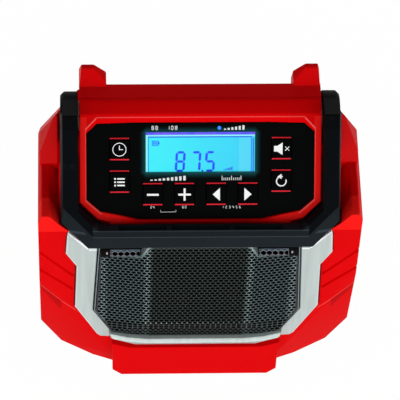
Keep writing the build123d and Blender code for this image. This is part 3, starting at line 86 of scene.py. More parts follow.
# ---- grille, millimetres
GRILLE_OUTLINE = [(26.8, 130.4), (30.6, 122.2), (51.6, 122.2), (54.0, 63.8),
                  (45.4, 45.0), (36.5, 41.4), (26.1, 39.6)]
GRILLE_FRONT_Y, GRILLE_RIM_Y, GRILLE_SEAT_Y = -56.3, -53.2, -52.0
GRILLE_FLAT, GRILLE_FOLD_Z, GRILLE_THICK = 27.0, 57.0, 0.4
WING = (GRILLE_RIM_Y - GRILLE_FRONT_Y) / (GRILLE_OUTLINE[2][0] - GRILLE_FLAT)
DROP = (GRILLE_RIM_Y - GRILLE_FRONT_Y) / (GRILLE_FOLD_Z - GRILLE_OUTLINE[6][1])
RIM_STEP, RIM_THICK, RIM_OVERLAP = 2.6, 0.8, 0.02
HOLE_BORDER, HOLE_MIDDLE_Z, HOLE_COUNT = 0.8, 85.0, (42, 44)
SHEET_BELOW_PLATE = 1.3
PLATE_Z, PLATE_THICK = 122.2, 0.4       # the two perforated plates on top of the wings
PLATE_IN, PLATE_HOLES, PLATE_OUT = 30.9, 46.6, 51.6
PLATE_PITCH, PLATE_WEB, PLATE_BORDER, PLATE_ROWS_Y = 3.1, 0.34, 0.25, -53.05
CLOTH_GAP, CLOTH_THICK, CLOTH_INSET = 0.95, 0.22, 1.0
CLOTH_FLAP_IN, CLOTH_FLAP_OUT = 31.2, 51.2       # the cloth below the top plates
THREAD = 0.5 * MM
STUD_X, STUD_Y, STUD_RADIUS = 48.4, -54.4, 0.45

# ---- outer edge of a side trim, millimetres
TRIM_EDGE = [(68.4, 137.0), (69.0, 134.7), (69.9, 117.7), (64.3, 105.6), (65.3, 66.2), (53.5, 38.6)]
TRIM_TOP = [(57.7, 122.3), (68.4, 138.0)]

# ---- back, millimetres
SCREWS = [(side * x, z) for x, z in ((70, 26), (70, 112), (40, 178)) for side in (-1, 1)]
SCREW_HEAD, SCREW_STEM, SCREW_RECESS = 3.0, 1.6, 1.55     # radii
SCREW_TIP_Y, SCREW_SEAT_Y, RECESS_Y, SCREW_REAR_Y = -8.0, 8.0, 8.9, 10.0
SCREW_OVERLAP = (0.1, 0.05)         # of the stem and the head, so that they meet
PACK_REAR = 58.53
RIB_COUNT, RIB_START, RIB_STEP, RIB_HALF = 15, 22, 4.6, 0.9
RIB_IN, RIB_OUT, RIB_FRONT, RIB_REAR = 37.8, 38.5, 51.6, 57.2

# ---- mesh limits, metres and radians
SAME_POINT, SAME_CAD_POINT = 1e-7, 1e-6
NEARLY_FLAT, SHARP_FOLD, SMOOTH_FOLD = math.radians(0.5), math.radians(24), math.radians(32)
PROBE = 2e-4            # how far outside an edge the view from it starts
ROOM_SHARE = 0.4        # share of the free width beside an edge that its rounding takes
STRAY, STRAY_REACH = 0.45, 1.2      # how far off the CAD faces a rounding strays, and its reach, in widths
STRAY_EASE = 0.4        # what an edge keeps of its rounding after the first stray

# ---- edges that have no setting, millimetres
CAP_EDGE, FASCIA_EDGE = 0.3, 0.18
BACK_EDGES = {"pack_outer": ("battery_case_rear", 1.0), "pack_inner": ("battery_case_front", 0.5),
              "pack_release": ("battery_release", 0.3), "socket_flap": ("port_flap", 0.35),
              "feet": ("rubber_feet", 0.4)}

# ---- stage and camera
FLOOR_SIZE, WORLD_LIGHT, FLOOR_GLOW = 6.0, 0.17, 1.02
CAMERA_ANGLES = (-4.03, 56.0, -2.95)        # azimuth, elevation and roll, degrees
CAMERA_AIM = Vector((0.6, -40.0, 120.0)) * MM
CAMERA_RISE = 0.01706       # how far above its aim the camera looks, metres


def slope(x, s, n):
    """A point x across, s up and n above the panel slope, in metres."""
    return Vector((x * MM, (FOOT_Y + s * COS_T - n * SIN_T) * MM, (FOOT_Z + s * SIN_T + n * COS_T) * MM))


def upright(u, v, n):
    """A point u across, v up and n to the rear, in metres."""
    return Vector((u * MM, n * MM, v * MM))


def rear_place(u, v, n):
    """A point on the back of the pack, u to the right as seen from behind."""
    return Vector((-u, PACK_REAR + n, v)) * MM


def rgb(*display):
    """A display colour from 0 to 255 as linear values, along the sRGB curve."""
    shares = [c / 255 for c in display]
    return (*(c / 12.92 if c <= 0.04045 else ((c + 0.055) / 1.055) ** 2.4 for c in shares), 1.0)


def shade(colour, factor, more=0.0):
    """A colour made darker or lighter."""
    return tuple(min(1.0, c * factor + more) for c in colour[:3]) + (1.0,)


# ======== settings
def colour_setting(name, description, *value):
    return bpy.props.FloatVectorProperty(name=name, description=description, default=rgb(*value),
                                         size=4, min=0.0, max=1.0, subtype="COLOR")


def length_setting(name, description, millimetres):
    return bpy.props.FloatProperty(name=name, description=description, default=millimetres * MM,
                                   min=0.0, unit="LENGTH", precision=5)


def power_setting(name, lamp, watts):
    return bpy.props.FloatProperty(name=name, description="Power of " + lamp + " in watts",
                                   default=watts, min=0.0, subtype="POWER")


class RadioColours(bpy.types.PropertyGroup):
    """Colours of the radio's finishes."""
    shell: colour_setting("Shell", "Red of the moulded shells", 224, 4, 8)
    handle: colour_setting("Handle", "Black of the bail handle", 5, 8, 11)
    trim: colour_setting("Trim", "Silver of the painted trims", 190, 202, 199)
    panel: colour_setting("Panel", "Black of the control panel", 5, 6, 6)
    key: colour_setting("Keys", "Black of the push keys", 2, 2, 3)
    grille: colour_setting("Grille", "Coated steel of the grille", 40, 53, 48)
    ink: colour_setting("Digits", "Colour of the display's dark segments", 32, 64, 235)
    print_white: colour_setting("White print", "Printed symbols", 238, 240, 240)
    print_red: colour_setting("Red print", "Printed key lines", 226, 20, 40)


class RadioSizes(bpy.types.PropertyGroup):
    """Sizes of the details that Blender adds."""
    shell_edge: length_setting("Shell edge", "Radius of the edges of the red shells", 0.7)
    handle_edge: length_setting("Handle edge", "Radius of the edges of the handle", 0.6)
    trim_edge: length_setting("Trim edge", "Radius of the edges of the silver trims", 0.35)
    key_edge: length_setting("Key edge", "Radius of the edges of the keys", 0.45)
    hex_pitch: length_setting("Mesh pitch", "Distance between holes of the grille", 2.8)
    hex_web: length_setting("Mesh web", "Width of the metal between two holes", 0.3)
    print_height: length_setting("Print", "Thickness of the printed symbols", 0.06)


class RadioStage(bpy.types.PropertyGroup):
    """The floor, the lamps and the camera."""
    front_power: power_setting("Front light", "the front softbox", 34.0)
    top_power: power_setting("Top light", "the top softbox", 0.5)
    side_power: power_setting("Side light", "each side softbox", 9.0)
    rear_power: power_setting("Rear light", "the rear softbox", 10.0)
    lens: bpy.props.FloatProperty(name="Lens", description="Focal length of the camera in millimetres",
                                  default=274.3, min=10.0, unit="CAMERA")
    distance: length_setting("Distance", "Camera to the middle of the front", 1600.0)


def chosen(name):
    """One of the colour settings."""
    return tuple(getattr(bpy.context.scene.radio_colours, name))


def sizes():
    return bpy.context.scene.radio_sizes


# ======== node trees
def arithmetic(operation, swapped=False):
    """A method that puts a socket and a value into a Math node."""
    def method(self, other=0.0):
        return self.tree.math(operation, *((other, self) if swapped else (self, other)))
    return method


class Socket:
    """One output socket with arithmetic through Math nodes."""
    __add__, __radd__ = arithmetic("ADD"), arithmetic("ADD", True)
    __sub__, __rsub__ = arithmetic("SUBTRACT"), arithmetic("SUBTRACT", True)
    __mul__, __rmul__ = arithmetic("MULTIPLY"), arithmetic("MULTIPLY", True)
    __truediv__, __abs__ = arithmetic("DIVIDE"), arithmetic("ABSOLUTE")
    above, below, least = arithmetic("GREATER_THAN"), arithmetic("LESS_THAN"), arithmetic("MINIMUM")

    def __init__(self, tree, socket):
        self.tree, self.socket = tree, socket

    def most(self, *others):
        """The greatest of this and some other values."""
        greatest = self
        for other in others:
            greatest = self.tree.math("MAXIMUM", greatest, other)
        return greatest

    def clamped(self):
        return self.most(0.0).least(1.0)

    def out(self, name):
        """Another output of the same node."""
        return Socket(self.tree, self.socket.node.outputs[name])


class Tree:
    """A node tree that one method fills."""

    def __init__(self, tree):
        self.tree = tree

    def node(self, kind, values=None, settings=None, output=0):
        """Adds a node; a value is a number, a socket or a list of sockets for the same input."""
        made = self.tree.nodes.new(kind)
        for name, value in (settings or {}).items():
            setattr(made, name, value)
        for name, value in (values or {}).items():
            if isinstance(value, (Socket, list)):
                for source in value if isinstance(value, list) else [value]:
                    self.tree.links.new(source.socket, made.inputs[name])
            else:
                made.inputs[name].default_value = value
        return Socket(self, made.outputs[output]) if len(made.outputs) else None

    def math(self, operation, first, second=0.0):
        return self.node("ShaderNodeMath", {0: first, 1: second}, {"operation": operation})

    def mix(self, factor, first, second):
        """A colour between two."""
        return self.node("ShaderNodeMix", {0: factor, 6: first, 7: second}, {"data_type": "RGBA"}, 2)

    def painted(self, base, *coats):
        """A colour under coats, each a factor and a display colour."""
        for factor, colour in coats:
            base = self.mix(factor, base, rgb(*colour))
        return base

    def noise(self, vector, scale, detail=2.0, rough=0.5):
        return self.node("ShaderNodeTexNoise", {
            "Vector": vector, "Scale": scale, "Detail": detail, "Roughness": rough})

    def scaled(self, vector, *factors):
        return self.node("ShaderNodeMapping", {"Vector": vector, "Scale": factors})

    def dot(self, vector, direction):
        return self.node("ShaderNodeVectorMath", {0: vector, 1: tuple(direction)},
                         {"operation": "DOT_PRODUCT"}, "Value")

    def split(self, vector, names="XYZ"):
        """Parts of a vector."""
        parts = self.node("ShaderNodeSeparateXYZ", {0: vector})
        return [parts.out(name) for name in names]

    def millimetres(self, place, names="XYZ"):
        """Parts of a place in millimetres."""
        return [part / MM for part in self.split(place, names)]

    def joined(self, *parts):
        return self.node("ShaderNodeCombineXYZ", dict(enumerate(parts)))


def shader_tree(owner):
    """The emptied node tree of a material or a world."""
    owner.use_nodes = True
    owner.node_tree.nodes.clear()
    return Tree(owner.node_tree)


def new_material(name):
    """The tree of a new material, and its object coordinates."""
    material = bpy.data.materials.new(name)
    tree = shader_tree(material)
    tree.material = material
    return tree, tree.node("ShaderNodeTexCoord", output="Object")


def close(tree, base, rough, shine=0.5, bump=None, more=None):
    """Ends a material in a principled shader; the bump is its height, depth in millimetres and strength."""
    values = {"Base Color": base, "Roughness": rough, "Specular IOR Level": shine, **(more or {})}
    if bump:
        height, depth, strength = bump
        values["Normal"] = tree.node("ShaderNodeBump", {
            "Height": height, "Distance": depth * MM, "Strength": strength})
    shader = tree.node("ShaderNodeBsdfPrincipled", values)
    tree.node("ShaderNodeOutputMaterial", {"Surface": shader})
    return tree.material


def between(value, low, high):
    """One inside a range of a value and nothing outside it."""
    return value.above(low) * value.below(high)


def ramp(value, start, end):
    """Rises from nothing at the start to one at the end."""
    return ((value - start) / (end - start)).clamped()


def stroke(u, v, start, end, low, high):
    """One beside the line from start to end, from low to high to its right; 0 elsewhere."""
    run, rise = end[0] - start[0], end[1] - start[1]
    length = math.hypot(run, rise)
    run, rise = run / length, rise / length
    along = u * run + v * rise - (start[0] * run + start[1] * rise)
    right = u * rise - v * run - (start[0] * rise - start[1] * run)
    return between(right, low, high) * between(along, 0.0, length)


def trim_strokes(out, z, *rows):
    """Strokes along a side trim's outer edge; each row is a stretch of it, low and high."""
    lines = [stroke(out, z, TRIM_EDGE[k], TRIM_EDGE[k + 1], low, high) for k, low, high in rows]
    return lines[0].most(*lines[1:])


def slope_coordinates(tree, place):
    """Distance across, up and above the slope, in millimetres."""
    foot_s = FOOT_Y * COS_T + FOOT_Z * SIN_T
    across = tree.dot(place, (1 / MM, 0, 0))
    return across, tree.dot(place, UPHILL / MM) - foot_s, tree.dot(place, OUTWARD / MM) - FOOT_N


def outline_gap(out, z):
    """How far a point lies outside the grille's side and lower slant, in millimetres across."""
    (top_x, top_z), (knee_x, knee_z), (foot_x, foot_z) = GRILLE_OUTLINE[2:5]
    side = (top_z - z) * ((knee_x - top_x) / (top_z - knee_z)) + top_x
    under = (z - knee_z) * ((knee_x - foot_x) / (knee_z - foot_z)) + knee_x
    return out - side.least(under)


# ======== materials
# Places are millimetres: out is the distance from the middle plane, s and n are up and above the panel's
# slope, and y and z are the frame's. A coat's factor is its share over the colours before it.


def moulded(name, colour, rough, shine, grain, size=0.45, mottle=0.12, dust=0.0):
    """Moulded plastic or rubber: fine grain, slow shade changes, handling marks and light dust."""
    tree, place = new_material(name)
    slow, handling = tree.noise(place, 28.0, 3.0, 0.6), tree.noise(place, 140.0, 5.0, 0.7)
    fine = tree.noise(place, 1.0 / (size * MM), 2.0, 0.6)
    base = tree.mix(slow, shade(colour, 1 - mottle), shade(colour, 1 + mottle, 0.0006))
    if dust:
        base = tree.painted(base, (((handling - 0.62) * 6.0).clamped() * dust, (150, 146, 140)))
    return close(tree, base, (rough - 0.07) + handling * 0.14, shine, (fine, grain, 0.6))


def metal(name, colour, rough, brush=0.0):
    """Plain or plated metal with fine scratches."""
    tree, place = new_material(name)
    lines = tree.noise(tree.scaled(place, 1.0, 1.0 + brush, 1.0), 900.0, 3.0, 0.6)
    slow = tree.noise(place, 90.0, 3.0, 0.6)
    return close(tree, tree.mix(slow, shade(colour, 0.72), colour), (rough - 0.08) + slow * 0.16,
                 bump=(lines, 0.02, 0.5), more={"Metallic": 1.0})


def ink(name, colour, glow=0.0):
    """Printed or lit marks."""
    tree, place = new_material(name)
    speck = tree.noise(place, 1800.0, 2.0, 0.5)
    tone = tree.mix(speck, shade(colour, 0.86), colour)
    light = {"Emission Color": tone, "Emission Strength": glow} if glow else None
    return close(tree, tone, speck * 0.1 + 0.5, 0.2, more=light)


def board_material(name):
    """Green circuit board with tracks under the lacquer."""
    tree, place = new_material(name)
    cells = tree.node("ShaderNodeTexVoronoi", {"Vector": place, "Scale": 420.0},
                      {"feature": "DISTANCE_TO_EDGE"})
    base = tree.mix(cells.above(0.12), rgb(22, 112, 62), rgb(12, 74, 40))
    return close(tree, base, tree.noise(place, 300.0) * 0.1 + 0.38)


def window_material(name):
    """Clear window plastic with a faint smear."""
    tree, place = new_material(name)
    smear = tree.noise(place, 60.0, 4.0, 0.6)
    return close(tree, tree.mix(smear, rgb(40, 70, 78), rgb(60, 92, 100)), smear * 0.08 + 0.04, 0.4,
                 more={"Alpha": smear * 0.03 + 0.03})


def front_shell_material(name):
    """The shell's red with painted light and shade: painted highlights along the panel frame's lip and along
    the crease above the lower outer facets, a painted brighter red on the lip's sides and lower corners,
    painted shade on the lip's middle and on the lower outer facets, and painted shadow beside the trims.
    """
    tree, place = new_material(name)
    x, s, n = slope_coordinates(tree, place)
    y, z = tree.millimetres(place, "YZ")
    out, lip = abs(x), n.above(0.6)
    slow, fine = tree.noise(place, 28.0, 3.0, 0.6), tree.noise(place, 2000.0, 2.0, 0.6)
    slant, foot = out * 0.727 + s * 0.687, out * 0.652 - s * 0.758
    # Painted highlights: light lines along the top of the panel frame's lip, its slanted corners, its sides
    # and its lower corners.
    lip_highlights = (between(s, 54.95, 55.4) * out.below(53.7) * 0.7).most(
        between(slant, 76.3, 77.0) * between(out, 53.7, 59.3),
        between(out, 58.9, 59.4) * between(s, 11.0, 49.4) * 0.45,
        between(foot, 29.7, 30.5) * between(out, 51.0, 59.2) * 0.8) * between(n, 1.2, 2.6)
    # Painted light: the lip's lower corners and its outer sides are painted a brighter red.
    lit_foot_corner = ramp(out, 34.0, 42.0) * ramp(s, 12.0, 7.0)
    lit = lit_foot_corner.most(out.above(58.6) * between(s, 0.0, 55.5)) * lip
    # Painted shade: the lip's middle, low down, is painted a darker red.
    lip_middle_shade = ramp(out, 36.0, 24.0) * ramp(s, 1.6, -0.4) * lip
    crease, ear = out * 0.772 - z * 0.635, out * 0.802 + z * 0.599
    front = y.below(-47.5)
    # Painted shade on the lower outer facets below the crease, and a painted highlight along the crease.
    facet_shade = out.above(72.6) * crease.above(11.4) * ear.above(90.25) * front
    crease_highlight = between(crease, 11.1, 11.65) * out.above(65.0) * front
    # Painted shadow: a dark line in the red along the side trims' outer edges, where the gap between the
    # parts lies.
    gap = trim_strokes(out, z, (1, -0.5, 0.3), (2, -0.35, 0.3), (3, -0.8, 0.3)) * y.below(-49.0)
    red = chosen("shell")
    base = tree.painted(
        tree.mix(slow, shade(red, 0.95), red), (lit * 0.8, (255, 30, 26)), (lip_middle_shade * 0.6, (80, 0, 2)),
        (lip_highlights * 0.5, (255, 130, 124)), (facet_shade * 0.7, (176, 0, 4)),
        (crease_highlight * 0.35, (255, 120, 112)), (gap * 0.85, (70, 0, 4)))
    return close(tree, base, slow * 0.1 + 0.41, 0.015, (fine, 0.03, 0.6))


def trim_material(name):
    """Silver paint with faint upright streaks, painted highlights along its outer edges and its top, and a
    painted shade strip above the top highlight.
    """
    tree, place = new_material(name)
    x, z = tree.millimetres(place, "XZ")
    out, silver = abs(x), chosen("trim")
    streaks = tree.noise(tree.scaled(place, 1.0, 1.0, 0.05), 420.0, 3.0, 0.6)
    fine = tree.noise(place, 2600.0, 2.0, 0.6)
    # Painted highlights: light lines along the outer edges of the trim.
    painted_highlight = trim_strokes(out, z, (1, 0.2, 0.85), (2, 0.2, 0.75), (3, 0.2, 0.75), (4, 0.2, 0.75))
    # Painted shade: a darker strip along the top of the trim, above the top highlight.
    foot = between(z, 121.9, 123.8) * out.below(58.0)
    # Painted highlights along the top's slanted edge and across its inner corner.
    top = stroke(out, z, *TRIM_TOP, 0.1, 1.1).most(between(z, 120.6, 121.9) * between(out, 53.6, 57.7))
    base = tree.painted(
        tree.mix(((streaks - 0.3) * 2.2).clamped(), shade(silver, 0.86), shade(silver, 1.04)),
        (painted_highlight * 0.5, (232, 246, 246)), (foot * 0.55, (150, 164, 164)), (top * 0.85, (252, 252, 255)))
    return close(tree, base, streaks * 0.12 + 0.3, 0.5, (fine, 0.01, 0.5), {"Metallic": 0.25})


def handle_material(name):
    """Black grained plastic with painted light and shade: a painted sheen on the grip, painted highlights on
    the arms' outer bevels, along the grip's crease lines and on the pocket walls, and painted shade high up
    the arms.
    """
    tree, place = new_material(name)
    x, s, n = slope_coordinates(tree, place)
    out = abs(x)
    slow, fine = tree.noise(place, 34.0, 4.0, 0.65), tree.noise(place, 1900.0, 2.0, 0.6)
    scuffs = ((tree.noise(place, 160.0, 5.0, 0.75) - 0.6) * 5.0).clamped() * 0.05
    # Painted sheen: the grip is painted a lighter black.
    grip = (ramp(s, 1.0, -1.4) * out.below(55.7)).most((out - s).above(61.3) * s.below(9.6))
    # Painted highlights on the arms' outer bevels.
    bevel_highlight = out.above(71.15) * s.above(9.0)
    # Painted highlights along the grip's crease lines.
    grip_crease_highlights = between(s, -6.35, -5.9).most(between(s, -3.1, -2.5) * n.above(10.6)) * out.below(55.9)
    # Painted light on the pocket walls, which lie in shade.
    pocket_light = between(s, -5.0, -3.4) * between(n, 4.9, 9.5)
    # Painted shade: the arms high up the slope are painted darker. The scuffs are wear.
    base = tree.painted(
        chosen("handle"), (grip, (28, 35, 39)), (bevel_highlight, (30, 40, 44)), (s.above(50.5) * 0.85, (1, 2, 3)),
        (grip_crease_highlights * 0.55, (72, 80, 86)), (pocket_light * 0.85, (58, 68, 76)), (slow * 0.35, (4, 6, 8)),
        (scuffs, (120, 124, 126)))
    return close(tree, base, slow * 0.14 + 0.44, 0.02, (fine, 0.05, 0.7))


def grille_material(name):
    """Coated steel with painted light and shade: a dark centre with painted lighter wings, painted highlights
    along the folds and the lower crease, painted shade below the lower fold, along the rim and on the hole
    walls, pale painted light on the top plates and painted shade on their plain ends.
    """
    tree, place = new_material(name)
    x, y, z = tree.millimetres(place)
    out, face, plate = abs(x), z.below(PLATE_Z - 0.6), z.above(PLATE_Z - 0.5)
    coat, patches = tree.noise(place, 700.0, 2.0, 0.5), tree.noise(place, 60.0, 3.0, 0.6)
    sheet_y = ((out - GRILLE_FLAT) * WING).most((GRILLE_FOLD_Z - z) * DROP, 0.0)
    # Painted shade on the hole walls behind the sheet's front.
    hole_wall_shade = ((y - GRILLE_FRONT_Y - sheet_y) * 8.0 - 0.4).clamped() * face
    # Painted highlights along the upright folds beside the centre and near the wings' outer edges.
    painted_highlight = (1.0 - abs(out - GRILLE_FLAT) / 2.6).most(1.0 - abs(out - 50.5) / 3.0, 0.0)
    # A painted highlight along the lower crease, fading towards the right.
    crease = between(z, GRILLE_FOLD_Z - 0.75, GRILLE_FOLD_Z + 0.45) * out.below(GRILLE_FLAT + 1.0)
    # Painted shade along the rim of the sheet, next to the bezel.
    rim = outline_gap(out, z).above(-0.85) * face
    # Painted shade: the plates' plain ends are painted near-black. Painted light: the plates' perforated tops
    # are painted pale.
    end = plate * out.above(PLATE_HOLES)
    top = plate * between(out, PLATE_IN + 0.2, PLATE_HOLES) * y.above(-55.95)
    # The wings are painted lighter than the centre, and the sheet below the lower fold darker again: painted
    # light and shade of the folded sheet.
    base = tree.painted(
        tree.mix(ramp(out, GRILLE_FLAT - 3.0, GRILLE_FLAT + 2.0), chosen("grille"), rgb(84, 102, 102)),
        (painted_highlight * (0.35 + patches * 0.5), (176, 198, 198)),
        (z.below(GRILLE_FOLD_Z - 1.0) * 0.75, (44, 54, 52)),
        (crease * (0.95 - (x + GRILLE_FLAT) / 75.0), (205, 212, 208)), (rim, (14, 18, 18)),
        (end, (3, 4, 5)), (top, (176, 198, 216)), (hole_wall_shade * 0.85, (10, 13, 13)))
    return close(tree, base, (coat * 0.14 + 0.34).most(end * 0.9), 0.3, (coat, 0.012, 0.5))


def bezel_material(name):
    """Black satin plastic with a painted highlight along its inner edge."""
    tree, place = new_material(name)
    x, z = tree.millimetres(place, "XZ")
    # A painted highlight: a light line along the bezel's inner edge.
    edge = between(outline_gap(abs(x), z), 0.5, 1.05) * between(z, GRILLE_OUTLINE[4][1] - 1.0, 126.0)
    fine = tree.noise(place, 1200.0, 2.0, 0.6)
    base = tree.painted(tree.mix(fine, rgb(4, 5, 6), rgb(9, 11, 12)), (edge * 0.75, (150, 164, 164)))
    return close(tree, base, fine * 0.1 + 0.5, 0.04, (fine, 0.01, 0.5))


def cloth_material(name):
    """Black woven cloth, a dark backing that stands in for the shade behind the grille's holes."""
    tree, place = new_material(name)
    warp, weft = (tree.math("SINE", part * (2 * math.pi / THREAD)) for part in tree.split(place, "XZ"))
    weave = (warp * weft + 1.0) * 0.5
    lint = tree.noise(place, 400.0, 3.0, 0.6)
    return close(tree, tree.mix(weave * lint, rgb(3, 4, 4), rgb(14, 16, 16)), lint * 0.1 + 0.85, 0.02,
                 (weave, 0.04, 0.6))


def fascia_material(name):
    """Black panel plastic with the faint glow of the display around its window."""
    tree, place = new_material(name)
    x, s = slope_coordinates(tree, place)[:2]
    middle, tall = (WINDOW_LOW + WINDOW_TOP) / 2, (WINDOW_TOP - WINDOW_LOW) / 2
    away = (abs(x) - WINDOW_HALF).most(0.0) + (abs(s - middle) - tall).most(0.0)
    halo = (1.0 - away / 3.6).most(0.0)
    speck, slow = tree.noise(place, 900.0, 3.0, 0.6), tree.noise(place, 30.0, 3.0, 0.6)
    black = chosen("panel")
    light = {"Emission Color": tree.mix(halo * halo, rgb(0, 0, 0), rgb(18, 74, 78)), "Emission Strength": 1.0}
    return close(tree, tree.mix(slow, shade(black, 0.4), black), speck * 0.12 + 0.3, 0.012,
                 (speck, 0.006, 0.5), light)


def display_material(name):
    """The lit liquid crystal: a cyan field with a violet edge and thin blue frame lines."""
    tree, place = new_material(name)
    x, s = slope_coordinates(tree, place)[:2]
    cloud, grid = tree.noise(place, 55.0, 2.0, 0.5), tree.noise(place, 2600.0, 1.0)
    lines = (between(s, 43.5, 44.2) * between(x, -26.8, 26.6)).most(
        between(x, -27.0, -26.6) * between(s, 20.0, 44.2), between(x, 26.2, 26.6) * between(s, 20.0, 44.2),
        between(x, 27.1, 27.7) * between(s, 20.0, 43.0))
    rim = between(s, 44.2, 44.95).most(between(x, -28.3, -27.2))
    across = ((x + 28.0) / 56.0 + (cloud - 0.5) * 0.3).clamped()
    field = tree.mix(across, rgb(66, 250, 255), rgb(60, 212, 250))
    field = tree.painted(field, (between(x, 20.0, 26.2) * 0.35, (120, 236, 255)),
                         (lines * 0.9, (38, 86, 245)), (rim, (150, 250, 250)))
    violet = tree.mix(tree.noise(place, 260.0, 1.0), rgb(52, 64, 255), rgb(146, 84, 255))
    lit = tree.painted(tree.mix(s.above(44.95), field, violet), (between(x, -40.0, -28.3), (40, 96, 240)))
    lit = tree.mix(grid * 0.07, lit, chosen("ink"))
    return close(tree, rgb(20, 60, 70), grid * 0.05 + 0.2, 0.1,
                 more={"Emission Color": lit, "Emission Strength": 1.0})


# A moulded row is its colour, roughness, specular level, grain depth, grain size, mottling and dust;
# a metal row is its colour, roughness and brushing. A word stands for a colour setting.
PLAIN_FINISHES = {
    "red_shell": (moulded, "shell", 0.45, 0.035, 0.03, 0.5, 0.04),
    "red_bumper": (moulded, "shell", 0.46, 0.05, 0.05, 0.6, 0.05),
    "black_satin": (moulded, (14, 15, 17), 0.4, 0.12, 0.02),
    "key_black": (moulded, "key", 0.42, 0.012, 0.02, 0.35),
    "diffuser": (moulded, (225, 232, 235), 0.5, 0.4, 0.01),
    "rubber": (moulded, (24, 24, 26), 0.75, 0.15, 0.08, 0.7, 0.12, 0.12),
    "nylon": (moulded, (212, 208, 196), 0.5, 0.35, 0.02),
    "ferrite": (moulded, (48, 46, 45), 0.65, 0.25, 0.1, 0.4),
    "cone_paper": (moulded, (34, 33, 32), 0.85, 0.1, 0.12, 0.9),
    "battery_black": (moulded, (20, 21, 23), 0.55, 0.25, 0.09, 0.8, 0.14, 0.06),
    "cell_wrap": (moulded, (38, 96, 150), 0.3, 0.5, 0.01),
    "steel": (metal, (186, 188, 190), 0.3, 4.0),
    "steel_black": (metal, (56, 58, 60), 0.42),
    "copper": (metal, (196, 110, 62), 0.3, 12.0),
    "brass": (metal, (206, 176, 98), 0.26),
    "aluminium": (metal, (198, 200, 204), 0.34, 8.0),
}
SPECIAL_FINISHES = {
    "silver_trim": trim_material, "black_handle": handle_material, "grille_metal": grille_material,
    "fascia_black": fascia_material, "lcd_glass": display_material, "clear_lens": window_material,
    "circuit_board": board_material,
}
FINISHES = {}


def finish(name, make, *values):
    """Makes a material once and gives it again afterwards."""
    if name not in FINISHES:
        FINISHES[name] = make(name, *values)
    return FINISHES[name]


def slot_finish(slot):
    """The material of one of the record's slots."""
    if slot in SPECIAL_FINISHES:
        return finish(slot, SPECIAL_FINISHES[slot])
    make, colour, *values = PLAIN_FINISHES[slot]
    return finish(slot, make, chosen(colour) if isinstance(colour, str) else rgb(*colour), *values)


# ======== meshes
def linked(name, data):
    """A new object in the scene."""
    made = bpy.data.objects.new(name, data)
    bpy.context.scene.collection.objects.link(made)
    return made


def piece(name, mesh, material, body, slot, *nodes):
    """Puts a finished mesh into the scene as a piece that rides on a body."""
    made = linked(name, mesh)
    mesh.materials.clear()
    mesh.materials.append(material)
    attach(made, body)
    if nodes:
        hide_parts(*nodes)
    return made


def body_of_node(node):
    return frame["nodes"][node]["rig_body"]


def mesh_from(name, bm):
    """A mesh from a bmesh, which is used up."""
    mesh = bpy.data.meshes.new(name)
    bm.to_mesh(mesh)
    bm.free()
    return mesh


def closed_mesh(name, bm):
    """A mesh from a bmesh, with its doubles merged and its faces outwards."""
    bmesh.ops.remove_doubles(bm, verts=bm.verts, dist=SAME_POINT)
    bmesh.ops.recalc_face_normals(bm, faces=bm.faces)
    return mesh_from(name, bm)


def merged(name, parts):
    """One mesh from several bmeshes, each with its faces outwards."""
    whole = bmesh.new()
    for part in parts:
        bmesh.ops.recalc_face_normals(part, faces=part.faces)
        mesh = mesh_from("part", part)
        whole.from_mesh(mesh)
        bpy.data.meshes.remove(mesh)
    return mesh_from(name, whole)


def segment_gap(start, end, other_start, other_end):
    """A close estimate of the distance between two straight segments."""
    pairs = [(point, other_start, other_end) for point in (start, end, (start + end) / 2)]
    pairs += [(point, start, end) for point in (other_start, other_end)]
    gaps = []
    for point, low, high in pairs:
        part = intersect_point_line(point, low, high)[1]
        gaps.append((point - low.lerp(high, min(1.0, max(0.0, part)))).length)
    return min(gaps)


def edge_room(edge, reach):
    """The free width on the two faces beside an edge, up to a reach."""
    start, end = (vert.co for vert in edge.verts)
    along = (end - start).normalized()
    room = reach
    for face in edge.link_faces:
        for other in face.edges:
            if other == edge:
                continue
            first, second = (vert.co for vert in other.verts)
            length = (second - first).length
            if set(other.verts) & set(edge.verts):
                lean = (second - first).normalized().cross(along).length
                if lean > 0.3:
                    room = min(room, length * lean)
            elif min((a - b).length for a in (first, second) for b in (start, end)) < reach + length:
                room = min(room, segment_gap(start, end, first, second))
    return room


def edge_weight(edge, tree, width):
    """How much of the rounding an edge gets: none if it is inside, less where there is little room."""
    if len(edge.link_faces) != 2 or edge.calc_face_angle(0.0) < SHARP_FOLD:
        return 0.0
    first, second = edge.link_faces
    facing = (first.normal + second.normal).normalized()
    middle = (edge.verts[0].co + edge.verts[1].co) / 2
    if tree.ray_cast(middle + facing * PROBE, facing)[0] is not None:
        return 0.0
    return min(1.0, ROOM_SHARE * min(edge.calc_length() * 1.2, edge_room(edge, 3 * width)) / width)


def plain_mesh(name, carrier):
    """The mesh that a temporary object has after its modifiers; the object goes."""
    bpy.context.view_layer.update()
    graph = bpy.context.evaluated_depsgraph_get()
    result = bpy.data.meshes.new_from_object(carrier.evaluated_get(graph))
    bpy.data.objects.remove(carrier)
    result.name = name
    return result


def modified(name, mesh, kind, settings):
    """The plain mesh that a mesh becomes after a modifier."""
    carrier = linked(name, mesh)
    modifier = carrier.modifiers.new(kind, kind)
    for key, value in settings.items():
        setattr(modifier, key, value)
    result = plain_mesh(name, carrier)
    bpy.data.meshes.remove(mesh)
    return result


def bevelled(name, bm, width, segments):
    """A mesh with its edges rounded by their weights."""
    mesh = bpy.data.meshes.new(name)
    bm.to_mesh(mesh)
    return modified(name, mesh, "BEVEL", {
        "limit_method": "WEIGHT", "width": width, "segments": segments, "use_clamp_overlap": False,
        "profile": 0.6, "miter_outer": "MITER_ARC"})


